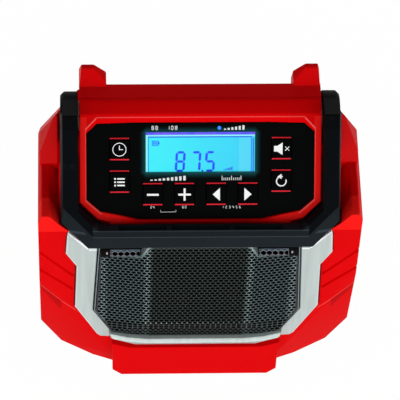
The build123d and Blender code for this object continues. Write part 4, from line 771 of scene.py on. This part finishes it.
def softened(name, node, width, segments=2):
    """A copy of a CAD node whose outer edges are rounded as moulded edges are.

    Where the rounding strays from the CAD faces, the edges nearby get less of it, and then none."""
    bm = bmesh.new()
    bm.from_mesh(frame["nodes"][node].data)
    bmesh.ops.remove_doubles(bm, verts=bm.verts, dist=SAME_CAD_POINT)
    bmesh.ops.dissolve_limit(bm, angle_limit=NEARLY_FLAT, verts=bm.verts, edges=bm.edges,
                             use_dissolve_boundaries=False)
    bm.normal_update()
    tree = BVHTree.FromBMesh(bm)
    layer = bm.edges.layers.float.new("bevel_weight_edge")
    for edge in bm.edges:
        edge[layer] = edge_weight(edge, tree, width)
    for attempt in range(5):
        mesh = bevelled(name, bm, width, segments)
        strays = [(vert.co.copy(), tree.find_nearest(vert.co)[3]) for vert in mesh.vertices]
        strays = [(place, gap) for place, gap in strays if gap > STRAY * width]
        if not strays:
            break
        for edge in (edge for edge in bm.edges if edge[layer] > 0.0):
            start, end = (vert.co for vert in edge.verts)
            for place, gap in strays:
                tip = place + Vector((0, 0, SAME_CAD_POINT))
                if segment_gap(place, tip, start, end) < gap + STRAY_REACH * width:
                    edge[layer] = 0.0 if attempt else edge[layer] * STRAY_EASE
                    break
    bm.free()
    mesh.shade_smooth()
    mesh.set_sharp_from_angle(angle=SMOOTH_FOLD)
    return modified(name, mesh, "WEIGHTED_NORMAL", {"keep_sharp": True, "weight": 80})


def soften(name, node, width, segments=2, material=None):
    """Replaces a CAD node by its copy with rounded edges."""
    mesh = softened(name, node, width, segments)
    return piece(name, mesh, material or slot_finish(SLOTS[node]), body_of_node(node), SLOTS[node], node)


def prism(bm, outer, holes, place, low, high):
    """Adds a closed flat form with holes to a bmesh; place(u, v, n) gives its points."""
    loops = [outer, *holes]
    flat = [[Vector((u, v, 0.0)) for u, v in loop] for loop in loops]
    points = [p for loop in loops for p in loop]
    bottom = [bm.verts.new(place(u, v, low)) for u, v in points]
    top = [bm.verts.new(place(u, v, high)) for u, v in points]
    for a, b, c in tessellate_polygon(flat):
        bm.faces.new((top[a], top[b], top[c]))
        bm.faces.new((bottom[c], bottom[b], bottom[a]))
    start = 0
    for loop in loops:
        size = len(loop)
        for k in range(size):
            i, j = start + k, start + (k + 1) % size
            bm.faces.new((bottom[i], bottom[j], top[j], top[i]))
        start += size


def unite(shapes, place, low, high):
    """Several flat shapes in one bmesh."""
    bm = bmesh.new()
    for outer, *holes in shapes:
        prism(bm, outer, holes, place, low, high)
    return bm


def circle(u, v, radius, count=32, start=0.0, end=360.0):
    """Points on an arc; a full turn leaves out the repeated last point."""
    steps = count if end - start >= 360.0 else count - 1
    angles = [math.radians(start + (end - start) * k / steps) for k in range(count)]
    return [(u + radius * math.cos(a), v + radius * math.sin(a)) for a in angles]


def rectangle(u0, u1, v0, v1):
    return [(u0, v0), (u1, v0), (u1, v1), (u0, v1)]


def marks(name, shapes, place, height, material, body, slot, base=0.0):
    """Printed marks as one thin piece."""
    mesh = closed_mesh(name, unite(shapes, place, base, base + height))
    return piece(name, mesh, material, body, slot)


SEGMENTS = {"0": "abcdef", "1": "bc", "2": "abged", "3": "abgcd", "4": "fgbc", "5": "afgcd",
            "6": "afgcde", "7": "abc", "8": "abcdefg", "9": "abcdfg"}


def segment(u0, v0, u1, v1, thick):
    """A bar with pointed ends between two points of a segment numeral."""
    along = Vector((u1 - u0, v1 - v0)).normalized()
    side = Vector((-along.y, along.x)) * thick / 2
    start, end = Vector((u0, v0)) + along * 0.12 * thick, Vector((u1, v1)) - along * 0.12 * thick
    inner_start, inner_end = start + along * thick / 2, end - along * thick / 2
    return [tuple(p) for p in (start, inner_start - side, inner_end - side, end, inner_end + side,
                               inner_start + side)]


def numeral(character, left, low, wide, tall, thick, lean=0.0):
    """The shapes of one segment numeral."""
    h = thick / 2
    ends = {"a": (h, tall - h, wide - h, tall - h), "g": (h, tall / 2, wide - h, tall / 2),
            "d": (h, h, wide - h, h), "f": (h, tall / 2, h, tall - h), "e": (h, h, h, tall / 2),
            "b": (wide - h, tall / 2, wide - h, tall - h), "c": (wide - h, h, wide - h, tall / 2)}
    shapes = [segment(*ends[name], thick) for name in SEGMENTS[character]]
    return [[[(left + u + v * lean, low + v) for u, v in shape]] for shape in shapes]


def numerals(text, x, s, tall):
    """A line of small numerals centred on a point."""
    wide, gap, thick = (share * tall for share in (0.58, 0.3, 0.17))
    widths = [gap if c == " " else wide + gap for c in text]
    left, shapes = x - (sum(widths) - gap) / 2, []
    for character, step in zip(text, widths):
        if character != " ":
            shapes += numeral(character, left, s - tall / 2, wide, tall, thick)
        left += step
    return shapes


# ======== geometry nodes
def geometry_tree(name, sockets):
    """A new geometry tree and its input node; the sockets are the labels and types of its inputs."""
    group = bpy.data.node_groups.new(name, "GeometryNodeTree")
    for label, kind in {"Geometry": "Geometry", **sockets, "Material": "Material"}.items():
        group.interface.new_socket(label, in_out="INPUT", socket_type="NodeSocket" + kind)
    group.interface.new_socket("Geometry", in_out="OUTPUT", socket_type="NodeSocketGeometry")
    tree = Tree(group)
    return tree, tree.node("NodeGroupInput")


def end_tree(tree, geometry, material):
    """Closes a geometry tree with real instances and a material."""
    real = tree.node("GeometryNodeRealizeInstances", {"Geometry": geometry})
    dressed = tree.node("GeometryNodeSetMaterial", {"Geometry": real, "Material": material})
    tree.node("NodeGroupOutput", {"Geometry": dressed})
    return tree.tree


def run_tree(group, source, values, name):
    """Runs a geometry tree on a mesh and gives the plain mesh that comes out."""
    carrier = linked(name, source)
    modifier = carrier.modifiers.new(name, "NODES")
    modifier.node_group = group
    for item in group.interface.items_tree:
        if item.in_out == "INPUT" and item.name in values:
            modifier[item.identifier] = values[item.name]
    return plain_mesh(name, carrier)


def perforation_tree():
    """Cuts staggered hexagon holes through a flat sheet, inside an area, and folds it over the facets."""
    tree, given = geometry_tree("perforated_sheet", {
        "Hole area": "Object", "Pitch": "Float", "Web": "Float", "Columns": "Int", "Rows": "Int",
        "Middle height": "Float", "Fold": "Float"})
    pitch, columns, rows = (given.out(name) for name in ("Pitch", "Columns", "Rows"))
    row = pitch * (math.sqrt(3) / 2)
    grid = tree.node("GeometryNodeMeshGrid", {
        "Size X": pitch * (columns - 1), "Size Y": row * (rows - 1),
        "Vertices X": columns, "Vertices Y": rows})
    points = tree.node("GeometryNodeMeshToPoints", {"Mesh": grid})
    x, y, z = tree.split(tree.node("GeometryNodeInputPosition"))
    odd = tree.math("PINGPONG", tree.math("ROUND", y / row + 0.5 * rows), 1.0)
    shift = tree.joined((odd - 0.5) * pitch * 0.5)
    stagger = tree.node("GeometryNodeSetPosition", {"Geometry": points, "Offset": shift})
    hole = tree.node("GeometryNodeMeshCylinder", {
        "Vertices": 6, "Radius": (pitch - given.out("Web")) / math.sqrt(3), "Depth": 8 * MM},
        {"fill_type": "NGON"}, "Mesh")
    turned = tree.node("GeometryNodeTransform", {"Geometry": hole, "Rotation": (0.0, 0.0, math.radians(30))})
    holes = tree.node("GeometryNodeInstanceOnPoints", {"Points": stagger, "Instance": turned})
    whole = tree.node("GeometryNodeRealizeInstances", {"Geometry": holes})
    standing = tree.node("GeometryNodeTransform", {
        "Geometry": whole, "Rotation": (math.radians(90), 0.0, 0.0),
        "Translation": tree.joined(0.0, 0.0, given.out("Middle height"))})
    area = tree.node("GeometryNodeObjectInfo", {"Object": given.out("Hole area")}, None, "Geometry")
    inside = tree.node("GeometryNodeMeshBoolean", {"Mesh 2": [standing, area]},
                       {"operation": "INTERSECT", "solver": "MANIFOLD"})
    sheet = tree.node("GeometryNodeMeshBoolean", {"Mesh 1": given.out("Geometry"), "Mesh 2": inside},
                      {"operation": "DIFFERENCE", "solver": "MANIFOLD"})
    side, under = (abs(x) - GRILLE_FLAT * MM) * WING, (GRILLE_FOLD_Z * MM - z) * DROP
    back = tree.joined(0.0, side.most(under, 0.0) * given.out("Fold"))
    folded = tree.node("GeometryNodeSetPosition", {"Geometry": sheet, "Offset": back})
    return end_tree(tree, folded, given.out("Material"))


def pattern_tree(name, line):
    """Repeats the given mesh along a line, or a given part on the vertices of the given mesh."""
    tree, given = geometry_tree(name, {"Count": "Int", "Start": "Vector", "Step": "Vector"} if line
                                else {"Part": "Object"})
    spots = part = given.out("Geometry")
    if line:
        spots = tree.node("GeometryNodeMeshLine", {
            "Count": given.out("Count"), "Start Location": given.out("Start"), "Offset": given.out("Step")})
    else:
        part = tree.node("GeometryNodeObjectInfo", {"Object": given.out("Part")}, None, "Geometry")
    points = tree.node("GeometryNodeMeshToPoints", {"Mesh": spots})
    copies = tree.node("GeometryNodeInstanceOnPoints", {"Points": points, "Instance": part})
    return end_tree(tree, copies, given.out("Material"))


# ======== stage
def area_lamp(name, size, power, place, aim_height):
    """A rectangular softbox that shines at a height above the middle of the floor."""
    data = bpy.data.lights.new(name, "AREA")
    data.shape, data.size, data.size_y, data.energy = "RECTANGLE", size[0], size[1], power
    lamp = linked(name, data)
    lamp.location = place
    lamp.rotation_euler = (Vector((0, 0, aim_height)) - Vector(place)).to_track_quat("-Z", "Y").to_euler()


def seen_rays(tree):
    """One for rays that the eye sees, straight, mirrored or through glass."""
    paths = tree.node("ShaderNodeLightPath")
    return paths.out("Is Camera Ray").most(paths.out("Is Glossy Ray"), paths.out("Is Transmission Ray"))


def stage_material():
    """A pale floor that is white to the eye and keeps a soft shadow."""
    tree, place = new_material("floor_pale")
    paint = tree.mix(tree.noise(place, 40.0), rgb(236, 236, 236), rgb(244, 244, 244))
    matt = tree.node("ShaderNodeBsdfDiffuse", {"Color": paint})
    lit = tree.node("ShaderNodeEmission", {"Color": (1, 1, 1, 1), "Strength": FLOOR_GLOW})
    blend = tree.node("ShaderNodeMixShader", {0: seen_rays(tree) * 0.96, 1: matt, 2: lit})
    tree.node("ShaderNodeOutputMaterial", {"Surface": blend})
    return tree.material


def stage_world(strength):
    """A background that is white to the eye and lights the radio with a lower strength."""
    world = bpy.data.worlds.new("studio")
    tree = shader_tree(world)
    background = tree.node("ShaderNodeBackground", {
        "Color": (1, 1, 1, 1), "Strength": strength + seen_rays(tree) * (1.0 - strength)})
    tree.node("ShaderNodeOutputWorld", {"Surface": background})
    bpy.context.scene.world = world


def camera():
    """The camera looks down at the panel from the front, turned a little."""
    settings = bpy.context.scene.radio_stage
    azimuth, elevation, roll = (math.radians(angle) for angle in CAMERA_ANGLES)
    back = Vector((math.sin(azimuth) * math.cos(elevation), -math.cos(azimuth) * math.cos(elevation),
                   math.sin(elevation)))
    right = Vector((math.cos(azimuth), math.sin(azimuth), 0.0))
    up = back.cross(right)
    right, up = right * math.cos(roll) - up * math.sin(roll), right * math.sin(roll) + up * math.cos(roll)
    eye = CAMERA_AIM + back * settings.distance
    back = (eye - CAMERA_AIM - up * CAMERA_RISE).normalized()
    right = up.cross(back).normalized()
    up = back.cross(right)
    data = bpy.data.cameras.new("camera")
    data.lens, data.sensor_width = settings.lens, 36.0
    data.clip_start, data.clip_end = 0.05, 20.0
    made = linked("camera", data)
    made.matrix_world = Matrix.Translation(eye) @ Matrix((right, up, back)).transposed().to_4x4()
    bpy.context.scene.camera = made


class RADIO_OT_stage(bpy.types.Operator):
    """Makes the floor, the lamps, the world and the camera"""
    bl_idname = "radio.stage"
    bl_label = "Stage"

    def execute(self, context):
        settings = context.scene.radio_stage
        bm = bmesh.new()
        bmesh.ops.create_grid(bm, x_segments=2, y_segments=2, size=FLOOR_SIZE)
        mesh = mesh_from("floor", bm)
        mesh.materials.append(stage_material())
        linked("floor", mesh)
        stage_world(WORLD_LIGHT)
        area_lamp("front_light", (3.0, 1.1), settings.front_power, (0.1, -1.9, 0.4), 0.1)
        area_lamp("top_light", (1.2, 1.2), settings.top_power, (-0.2, 0.2, 1.6), 0.1)
        for x in (-1.7, 1.7):
            area_lamp("side_light", (0.9, 0.9), settings.side_power, (x, -0.7, 0.5), 0.1)
        area_lamp("rear_light", (2.0, 1.0), settings.rear_power, (0.3, 1.9, 0.35), 0.08)
        camera()
        context.scene.view_settings.view_transform = "Standard"
        return {"FINISHED"}


# ======== shells, handle and trims
class RADIO_OT_shells(bpy.types.Operator):
    """Makes the red shells and the side guards with rounded edges"""
    bl_idname = "radio.shells"
    bl_label = "Shells"

    def execute(self, context):
        edge = sizes().shell_edge
        soften("front_shell", "front_housing", edge, material=front_shell_material("red_shell_front"))
        soften("rear_shell", "rear_housing", edge)
        for side in ("left", "right"):
            soften(side + "_bumper", side + "_guard", edge)
        return {"FINISHED"}


class RADIO_OT_handle(bpy.types.Operator):
    """Makes the bail handle and its caps"""
    bl_idname = "radio.handle"
    bl_label = "Handle"

    def execute(self, context):
        soften("bail_handle", "handle", sizes().handle_edge)
        soften("bail_caps", "pivot_caps", CAP_EDGE * MM)
        return {"FINISHED"}


class RADIO_OT_trims(bpy.types.Operator):
    """Makes the silver trims and the bezel of the grille"""
    bl_idname = "radio.trims"
    bl_label = "Trims"

    def execute(self, context):
        edge = sizes().trim_edge
        for side in ("left", "right", "lower"):
            soften(side + "_strip", side + "_trim", edge)
        soften("bezel_ring", "grille_bezel", edge, material=bezel_material("bezel_satin"))
        return {"FINISHED"}


# ======== grille
def grille_y(x, z):
    """Front of the grille in millimetres: a flat centre, two wings and a lower fold."""
    return GRILLE_FRONT_Y + max(0.0, (abs(x) - GRILLE_FLAT) * WING, (GRILLE_FOLD_Z - z) * DROP)


def both_sides(points):
    """A closed outline from its right-hand half, from the top down."""
    return points + [(-x, z) for x, z in reversed(points)]


def sides_of(points):
    """The sides of a closed outline, each as its two ends."""
    return zip(points, points[1:] + points[:1])


def inset_loop(points, gap):
    """A closed outline moved inwards by a gap."""
    area = sum(x0 * z1 - x1 * z0 for (x0, z0), (x1, z1) in sides_of(points))
    turn = 1.0 if area > 0 else -1.0
    lines = []
    for (x0, z0), (x1, z1) in sides_of(points):
        along = Vector((x1 - x0, z1 - z0)).normalized()
        inward = Vector((-along.y, along.x)) * turn * gap
        lines.append((Vector((x0, z0)) + inward, along))
    moved = []
    for (p, u), (q, v) in zip(lines[-1:] + lines[:-1], lines):
        cross = u.x * v.y - u.y * v.x
        corner = q if abs(cross) < 1e-6 else p + u * (((q - p).x * v.y - (q - p).y * v.x) / cross)
        moved.append((corner.x, corner.y))
    return moved


def divided(points, step):
    """A closed outline with extra points, none further apart than a step."""
    fine = []
    for (x0, z0), (x1, z1) in sides_of(points):
        count = max(1, math.ceil(math.hypot(x1 - x0, z1 - z0) / step))
        fine += [(x0 + (x1 - x0) * k / count, z0 + (z1 - z0) * k / count) for k in range(count)]
    return fine


def perforated(name, group, outline, border, middle, count, fold, place, pitch, web):
    """A perforated sheet from its outline, as a bmesh moved to its place."""
    def plate(points, low, high):
        return closed_mesh(name, unite([[points]], upright, low, high))
    area = linked(name + "_area", plate(inset_loop(outline, border), -1.0, 2.5))
    mesh = run_tree(group, plate(divided(outline, RIM_STEP), 0.0, GRILLE_THICK), {
        "Hole area": area, "Pitch": pitch, "Web": web, "Columns": count[0],
        "Rows": count[1], "Middle height": middle * MM, "Fold": fold,
        "Material": slot_finish("grille_metal")}, name)
    bpy.data.objects.remove(area)
    bm = bmesh.new()
    bm.from_mesh(mesh)
    bpy.data.meshes.remove(mesh)
    bm.transform(place)
    return bm


def top_plates(group):
    """The two plates on top of the wings, each with two rows of holes and a plain end.

    The end's one row of holes is laid off the plate, so it cuts nothing."""
    turn = Matrix(((1, 0, 0, 0), (0, 0, 1, 0), (0, 1, 0, 0), (0, 0, 0, 1)))
    lay = Matrix.Translation((0, 0, (PLATE_Z - PLATE_THICK) * MM)) @ turn
    plates = []
    for side in (-1, 1):
        for inner, outer, rows, middle in ((PLATE_IN, PLATE_HOLES, 2, PLATE_ROWS_Y),
                                           (PLATE_HOLES - 0.01, PLATE_OUT, 1, 0.0)):
            x0, x1 = sorted((side * inner, side * outer))
            top = rectangle(x0, x1, GRILLE_FRONT_Y + 0.1, GRILLE_SEAT_Y)
            plates.append(perforated("grille_top", group, top, PLATE_BORDER, middle, (34, rows), 0.0, lay,
                                     PLATE_PITCH * MM, PLATE_WEB * MM))
    return plates


def rim_flange(points, thick):
    """The turned-back edge of the sheet along an outline, down to its seat."""
    bm = bmesh.new()
    for (outer_a, inner_a), (outer_b, inner_b) in sides_of(list(zip(points, inset_loop(points, thick)))):
        if min(outer_a[1], outer_b[1]) > PLATE_Z - 0.1 and min(abs(outer_a[0]), abs(outer_b[0])) > 30.5:
            continue
        ring = [outer_a, outer_b, inner_b, inner_a]
        front = [bm.verts.new(Vector((x, grille_y(x, z) + RIM_OVERLAP, z)) * MM) for x, z in ring]
        back = [bm.verts.new(Vector((x, GRILLE_SEAT_Y, z)) * MM) for x, z in ring]
        bm.faces.new(front)
        bm.faces.new(reversed(back))
        for k in range(4):
            m = (k + 1) % 4
            bm.faces.new((front[m], front[k], back[k], back[m]))
    return bm


def cloth_mesh():
    """The dark cloth behind the grille, standing in for the shade inside the radio behind the holes: it
    follows the facets and turns back under the two top plates.
    """
    outline = inset_loop(both_sides(GRILLE_OUTLINE), CLOTH_INSET)
    bm = unite([[outline]], upright, CLOTH_GAP, CLOTH_GAP + CLOTH_THICK)
    middle, low = GRILLE_FLAT * MM, GRILLE_FOLD_Z * MM
    cuts = [((middle, 0, low), (1, 0, 0)), ((-middle, 0, low), (1, 0, 0)), ((0, 0, low), (0, 0, 1))]
    cuts += [((side * middle, 0, low), (side * WING, 0, DROP)) for side in (-1, 1)]
    for spot, normal in cuts:
        bmesh.ops.bisect_plane(bm, geom=[*bm.verts, *bm.edges, *bm.faces], plane_co=spot, plane_no=normal)
    for vert in bm.verts:
        vert.co.y += grille_y(vert.co.x / MM, vert.co.z / MM) * MM
    top = PLATE_Z - PLATE_THICK - 0.1
    for side in (-1, 1):
        x0, x1 = sorted((side * CLOTH_FLAP_IN, side * CLOTH_FLAP_OUT))
        prism(bm, rectangle(x0, x1, -GRILLE_SEAT_Y + 0.1, -GRILLE_FRONT_Y - 0.3), [],
              lambda u, v, n: Vector((u * MM, -v * MM, n * MM)), top - CLOTH_THICK, top)
    return closed_mesh("speaker_cloth", bm)


class RADIO_OT_grille(bpy.types.Operator):
    """Makes the perforated grille, folded over its facets"""
    bl_idname = "radio.grille"
    bl_label = "Grille"

    def execute(self, context):
        steel, group = slot_finish("grille_metal"), perforation_tree()
        wings = [(x, z - SHEET_BELOW_PLATE if z == PLATE_Z else z) for x, z in GRILLE_OUTLINE]
        place = Matrix.Translation((0, GRILLE_FRONT_Y * MM, 0))
        front = perforated("grille_front", group, both_sides(wings), HOLE_BORDER, HOLE_MIDDLE_Z, HOLE_COUNT,
                           1.0, place, sizes().hex_pitch, sizes().hex_web)
        flange = rim_flange(divided(both_sides(GRILLE_OUTLINE), RIM_STEP), RIM_THICK)
        mesh = merged("honeycomb_grille", [front, *top_plates(group), flange])
        piece("honeycomb_grille", mesh, steel, "radio", "grille_metal", "speaker_grille")
        # The studs' near-white colour is a painted glint on their steel.
        studs = [[circle(side * STUD_X, STUD_Y, STUD_RADIUS, 12)] for side in (-1, 1)]
        marks("grille_studs", studs, lambda u, v, n: Vector((u, v, n)) * MM, 1.0,
              finish("stud", ink, rgb(226, 232, 232)), "radio", "steel", base=PLATE_Z - 0.1)
        # A dark backing behind the holes, standing in for the shade inside the radio.
        cloth = piece("speaker_cloth", cloth_mesh(), cloth_material("speaker_cloth"), "radio", "grille_metal")
        return {"FINISHED"}


# ======== panel; places are across and up the slope
def bar(x, s, wide, tall):
    return [rectangle(x - wide / 2, x + wide / 2, s - tall / 2, s + tall / 2)]


def rising_bars(count, x, step, foot, wide, first, growth):
    """Bars on one foot line, each taller than the one before."""
    heights = [first + growth * k for k in range(count)]
    return [bar(x + step * k, foot + tall / 2, wide, tall) for k, tall in enumerate(heights)]


def cross_shape(x, s, reach, thick, turn=0.0):
    """A plus with equal arms, turned by an angle in degrees."""
    h = thick / 2
    loop = []
    for quarter in range(4):
        angle = math.radians(turn + 90 * quarter)
        c, d = math.cos(angle), math.sin(angle)
        loop += [(x + u * c - v * d, s + u * d + v * c) for u, v in ((h, h), (h, reach), (-h, reach))]
    return [loop]


def key_symbols():
    """The symbols of the keys, each around its key's middle."""
    hands = [(-0.2, -0.2), (1.9, -0.2), (1.9, 0.2), (0.2, 0.2), (0.2, 2.1), (-0.2, 2.1)]
    horn = [(-3.9, -1.5), (-2.2, -1.5), (0.5, -3.3), (0.5, 3.3), (-2.2, 1.5), (-3.9, 1.5)]
    outer, inner = (circle(0, 0, radius, 30, 75, 380) for radius in (2.8, 2.2))
    arrow_head = [(0.1, 3.9), (0.1, 1.1), (-2.0, 2.5)]
    dots = [bar(-2.3, s, 0.85, 0.85) for s in (1.75, 0.0, -1.75)]
    rows = [bar(0.75, s, 3.9, 0.75) for s in (1.75, 0.0, -1.75)]
    return {
        "button_clock": [[circle(0, 0, 3.6, 40), circle(0, 0, 3.22, 40)], [hands]],
        "button_channel": dots + rows,
        "button_mute": [[horn], cross_shape(2.9, 0.0, 1.5, 0.36, 45.0)],
        "button_mode": [[outer + inner[::-1]], [arrow_head]],
        "button_volume_down": [bar(0, 0, 6.1, 1.05)],
        "button_volume_up": [cross_shape(0, 0, 3.25, 1.05)],
        "button_seek_down": [[[(-1.9, 0.0), (1.9, -3.4), (1.9, 3.4)]]],
        "button_seek_up": [[[(1.9, 0.0), (-1.9, 3.4), (-1.9, -3.4)]]]}


def fascia_prints():
    """Scales and numerals on the fascia."""
    volume = rising_bars(9, -25.2, 2.12, SCALE_FOOT, 1.25, 0.5, 0.25)
    signal = rising_bars(6, 12.6, 1.9, 48.0, 1.1, 0.7, 0.34)
    ticks = [2.4 if k % 5 == 0 else 1.4 for k in range(11)]
    tuning = [bar(11.2 + 0.98 * k, SCALE_FOOT + tall / 2, 0.36, tall) for k, tall in enumerate(ticks)]
    bracket = [bar(-20.6, 5.2, 0.24, 1.0), bar(-16.6, 4.7, 7.7, 0.24), bar(-12.6, 5.2, 0.24, 1.0)]
    lines = (numerals("88", -23.6, 49.2, 2.3) + numerals("108", -14.6, 49.2, 2.3)
             + numerals("24", -24.8, 7.3, 1.5) + numerals("60", -8.3, 7.3, 1.5)
             + numerals("1 2 3 4 5 6", 16.1, 7.1, 1.5))
    return volume + tuning + signal + bracket + lines


def key_lines():
    """The red lines above and below each key."""
    reach = KEY_HALF + 0.25
    return [bar(x, s + side * (reach + 0.36), 9.9, 0.66) for x, s in KEYS.values() for side in (-1, 1)]


def display_digits():
    """The number on the display, cut off at the lower edge of the window as its tall digits are."""
    tall, wide, thick, lean, low = 11.0, 5.2, 1.25, 0.06, 25.35
    shapes = []
    for character, left in (("8", -13.3), ("7", -5.2), ("5", 2.1)):
        shapes += numeral(character, left, low, wide, tall, thick, lean)
    return shapes + [bar(1.05, low + 0.55, 0.9, 1.0)]


def display_marks():
    """Small status marks: a battery and a row of level bars."""
    cell = [[(-25.0, 39.3), (-21.6, 39.3), (-21.6, 40.0), (-21.1, 40.0), (-21.1, 41.2), (-21.6, 41.2),
             (-21.6, 41.9), (-25.0, 41.9)], rectangle(-24.6, -22.0, 39.7, 41.5)[::-1]]
    level = rising_bars(5, 12.4, 1.0, 26.1, 0.6, 0.5, 0.35)
    return [cell, bar(-23.9, 40.6, 0.7, 1.2), bar(-22.8, 40.6, 0.7, 1.2)] + level


class RADIO_OT_panel(bpy.types.Operator):
    """Makes the black fascia with its printed marks"""
    bl_idname = "radio.panel"
    bl_label = "Panel"

    def execute(self, context):
        soften("fascia_plate", "control_fascia", FASCIA_EDGE * MM)
        dot = [[circle(9.7, 49.1, 0.95, 20)]]
        # The red key lines glow faintly: painted light that brightens the print.
        for name, shapes, material in (
                ("panel_scales", fascia_prints(), finish("print_white", ink, chosen("print_white"))),
                ("key_lines", key_lines(), finish("print_red", ink, chosen("print_red"), 0.18)),
                ("status_dot", dot, finish("status_blue", ink, rgb(40, 120, 235), 0.8))):
            marks(name, shapes, slope, sizes().print_height / MM, material, "radio", "fascia_black")
        return {"FINISHED"}


class RADIO_OT_display(bpy.types.Operator):
    """Makes the lit display with its digits behind the clear window"""
    bl_idname = "radio.display"
    bl_label = "Display"

    def execute(self, context):
        dark = finish("display_ink", ink, chosen("ink"), 0.75)
        marks("display_digits", display_digits() + display_marks(), slope, 0.035, dark, "radio", "lcd_glass",
              base=DISPLAY_N - 0.048)
        return {"FINISHED"}


class RADIO_OT_keys(bpy.types.Operator):
    """Makes the eight push keys with their symbols"""
    bl_idname = "radio.keys"
    bl_label = "Keys"

    def execute(self, context):
        # The key symbols glow faintly: painted light that brightens the print.
        white, symbols = finish("key_print", ink, chosen("print_white"), 0.22), key_symbols()
        for node, (x, up) in KEYS.items():
            soften(node + "_cap", node, sizes().key_edge, 3)
            shapes = [[[(x + u, up + v) for u, v in loop] for loop in shape] for shape in symbols[node]]
            marks(node + "_symbol", shapes, slope, sizes().print_height / MM, white, body_of_node(node),
                  "key_black", base=KEY_TOP)
        return {"FINISHED"}


# ======== back
def screw_mesh():
    """A housing screw with a six-sided recess, seen from behind."""
    stem_overlap, head_overlap = SCREW_OVERLAP
    bm = unite([[circle(0, 0, SCREW_STEM, 16)]], upright, SCREW_TIP_Y, SCREW_SEAT_Y + stem_overlap)
    head = circle(0, 0, SCREW_HEAD, 24)
    prism(bm, head, [], upright, SCREW_SEAT_Y, RECESS_Y + head_overlap)
    prism(bm, head, [circle(0, 0, SCREW_RECESS, 6)[::-1]], upright, RECESS_Y, SCREW_REAR_Y)
    return closed_mesh("screw", bm)


def pack_marks():
    """A charge gauge, a release arrow and a plain number on the back of the pack."""
    gauge = [bar(-7.5 + 5.0 * k, 64.0, 3.0, 1.6) for k in range(4)]
    arrow = [[[(-2.4, 102.0), (2.4, 102.0), (0.0, 104.6)]]]
    return gauge + arrow + numerals("18", 0.0, 54.0, 7.0)


class RADIO_OT_back(bpy.types.Operator):
    """Makes the battery pack, the port flap, the feet and the housing screws"""
    bl_idname = "radio.back"
    bl_label = "Back"

    def execute(self, context):
        for name, (node, width) in BACK_EDGES.items():
            soften(name, node, width * MM)
        slot = SLOTS["housing_screws"]
        spots = bpy.data.meshes.new("screw_spots")
        spots.from_pydata([(x * MM, 0.0, z * MM) for x, z in SCREWS], [], [])
        screw = linked("screw_part", screw_mesh())
        mesh = run_tree(pattern_tree("on_points", False), spots, {
            "Part": screw, "Material": slot_finish(slot)}, "shell_screws")
        bpy.data.objects.remove(screw)
        piece("shell_screws", mesh, slot_finish(slot), "radio", slot, "housing_screws")
        body, slot = body_of_node("battery_case_rear"), SLOTS["battery_case_rear"]
        ribs = pattern_tree("along_line", True)
        for side, name in ((-1, "pack_ribs_left"), (1, "pack_ribs_right")):
            side_face = rectangle(*sorted((side * RIB_IN, side * RIB_OUT)), -RIB_HALF, RIB_HALF)
            rib = closed_mesh("rib", unite([[side_face]], upright, RIB_FRONT, RIB_REAR))
            mesh = run_tree(ribs, rib, {
                "Count": RIB_COUNT, "Start": (0.0, 0.0, RIB_START * MM), "Step": (0.0, 0.0, RIB_STEP * MM),
                "Material": slot_finish(slot)}, name)
            piece(name, mesh, slot_finish(slot), body, slot)
        marks("pack_marks", pack_marks(), rear_place, 0.05, finish("pack_print", ink, rgb(150, 156, 158)),
              body, slot)
        return {"FINISHED"}


# ======== the rest of the nodes
class RADIO_OT_nodes(bpy.types.Operator):
    """Gives every other CAD node the finish of its slot"""
    bl_idname = "radio.nodes"
    bl_label = "Other nodes"

    def execute(self, context):
        for node, made in frame["nodes"].items():
            if made.hide_render:
                continue
            material = slot_finish(SLOTS[node])
            if not made.material_slots:
                made.data.materials.append(material)
            for holder in made.material_slots:
                holder.material = material
        return {"FINISHED"}


OPERATORS = (RADIO_OT_stage, RADIO_OT_shells, RADIO_OT_handle, RADIO_OT_trims, RADIO_OT_grille,
             RADIO_OT_panel, RADIO_OT_display, RADIO_OT_keys, RADIO_OT_back, RADIO_OT_nodes)
GROUPS = {"radio_colours": RadioColours, "radio_sizes": RadioSizes, "radio_stage": RadioStage}


class RADIO_PT_panel(bpy.types.Panel):
    """The radio's settings and steps in the sidebar"""
    bl_idname = "RADIO_PT_panel"
    bl_label = "Jobsite Radio"
    bl_space_type = "VIEW_3D"
    bl_region_type = "UI"
    bl_category = "Radio"

    def draw(self, context):
        for group in GROUPS:
            box = self.layout.box()
            for name in GROUPS[group].__annotations__:
                box.prop(getattr(context.scene, group), name)
        for operator in OPERATORS:
            self.layout.operator(operator.bl_idname)


def register():
    for group in (*GROUPS.values(), *OPERATORS, RADIO_PT_panel):
        bpy.utils.register_class(group)
    for name, group in GROUPS.items():
        setattr(bpy.types.Scene, name, bpy.props.PointerProperty(type=group))


def unregister():
    for name in GROUPS:
        delattr(bpy.types.Scene, name)
    for group in (RADIO_PT_panel, *reversed(OPERATORS), *GROUPS.values()):
        bpy.utils.unregister_class(group)


def main():
    """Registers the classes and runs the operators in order."""
    register()
    for operator in OPERATORS:
        space, name = operator.bl_idname.split(".")
        getattr(getattr(bpy.ops, space), name)()


if __name__ == "__main__":
    main()
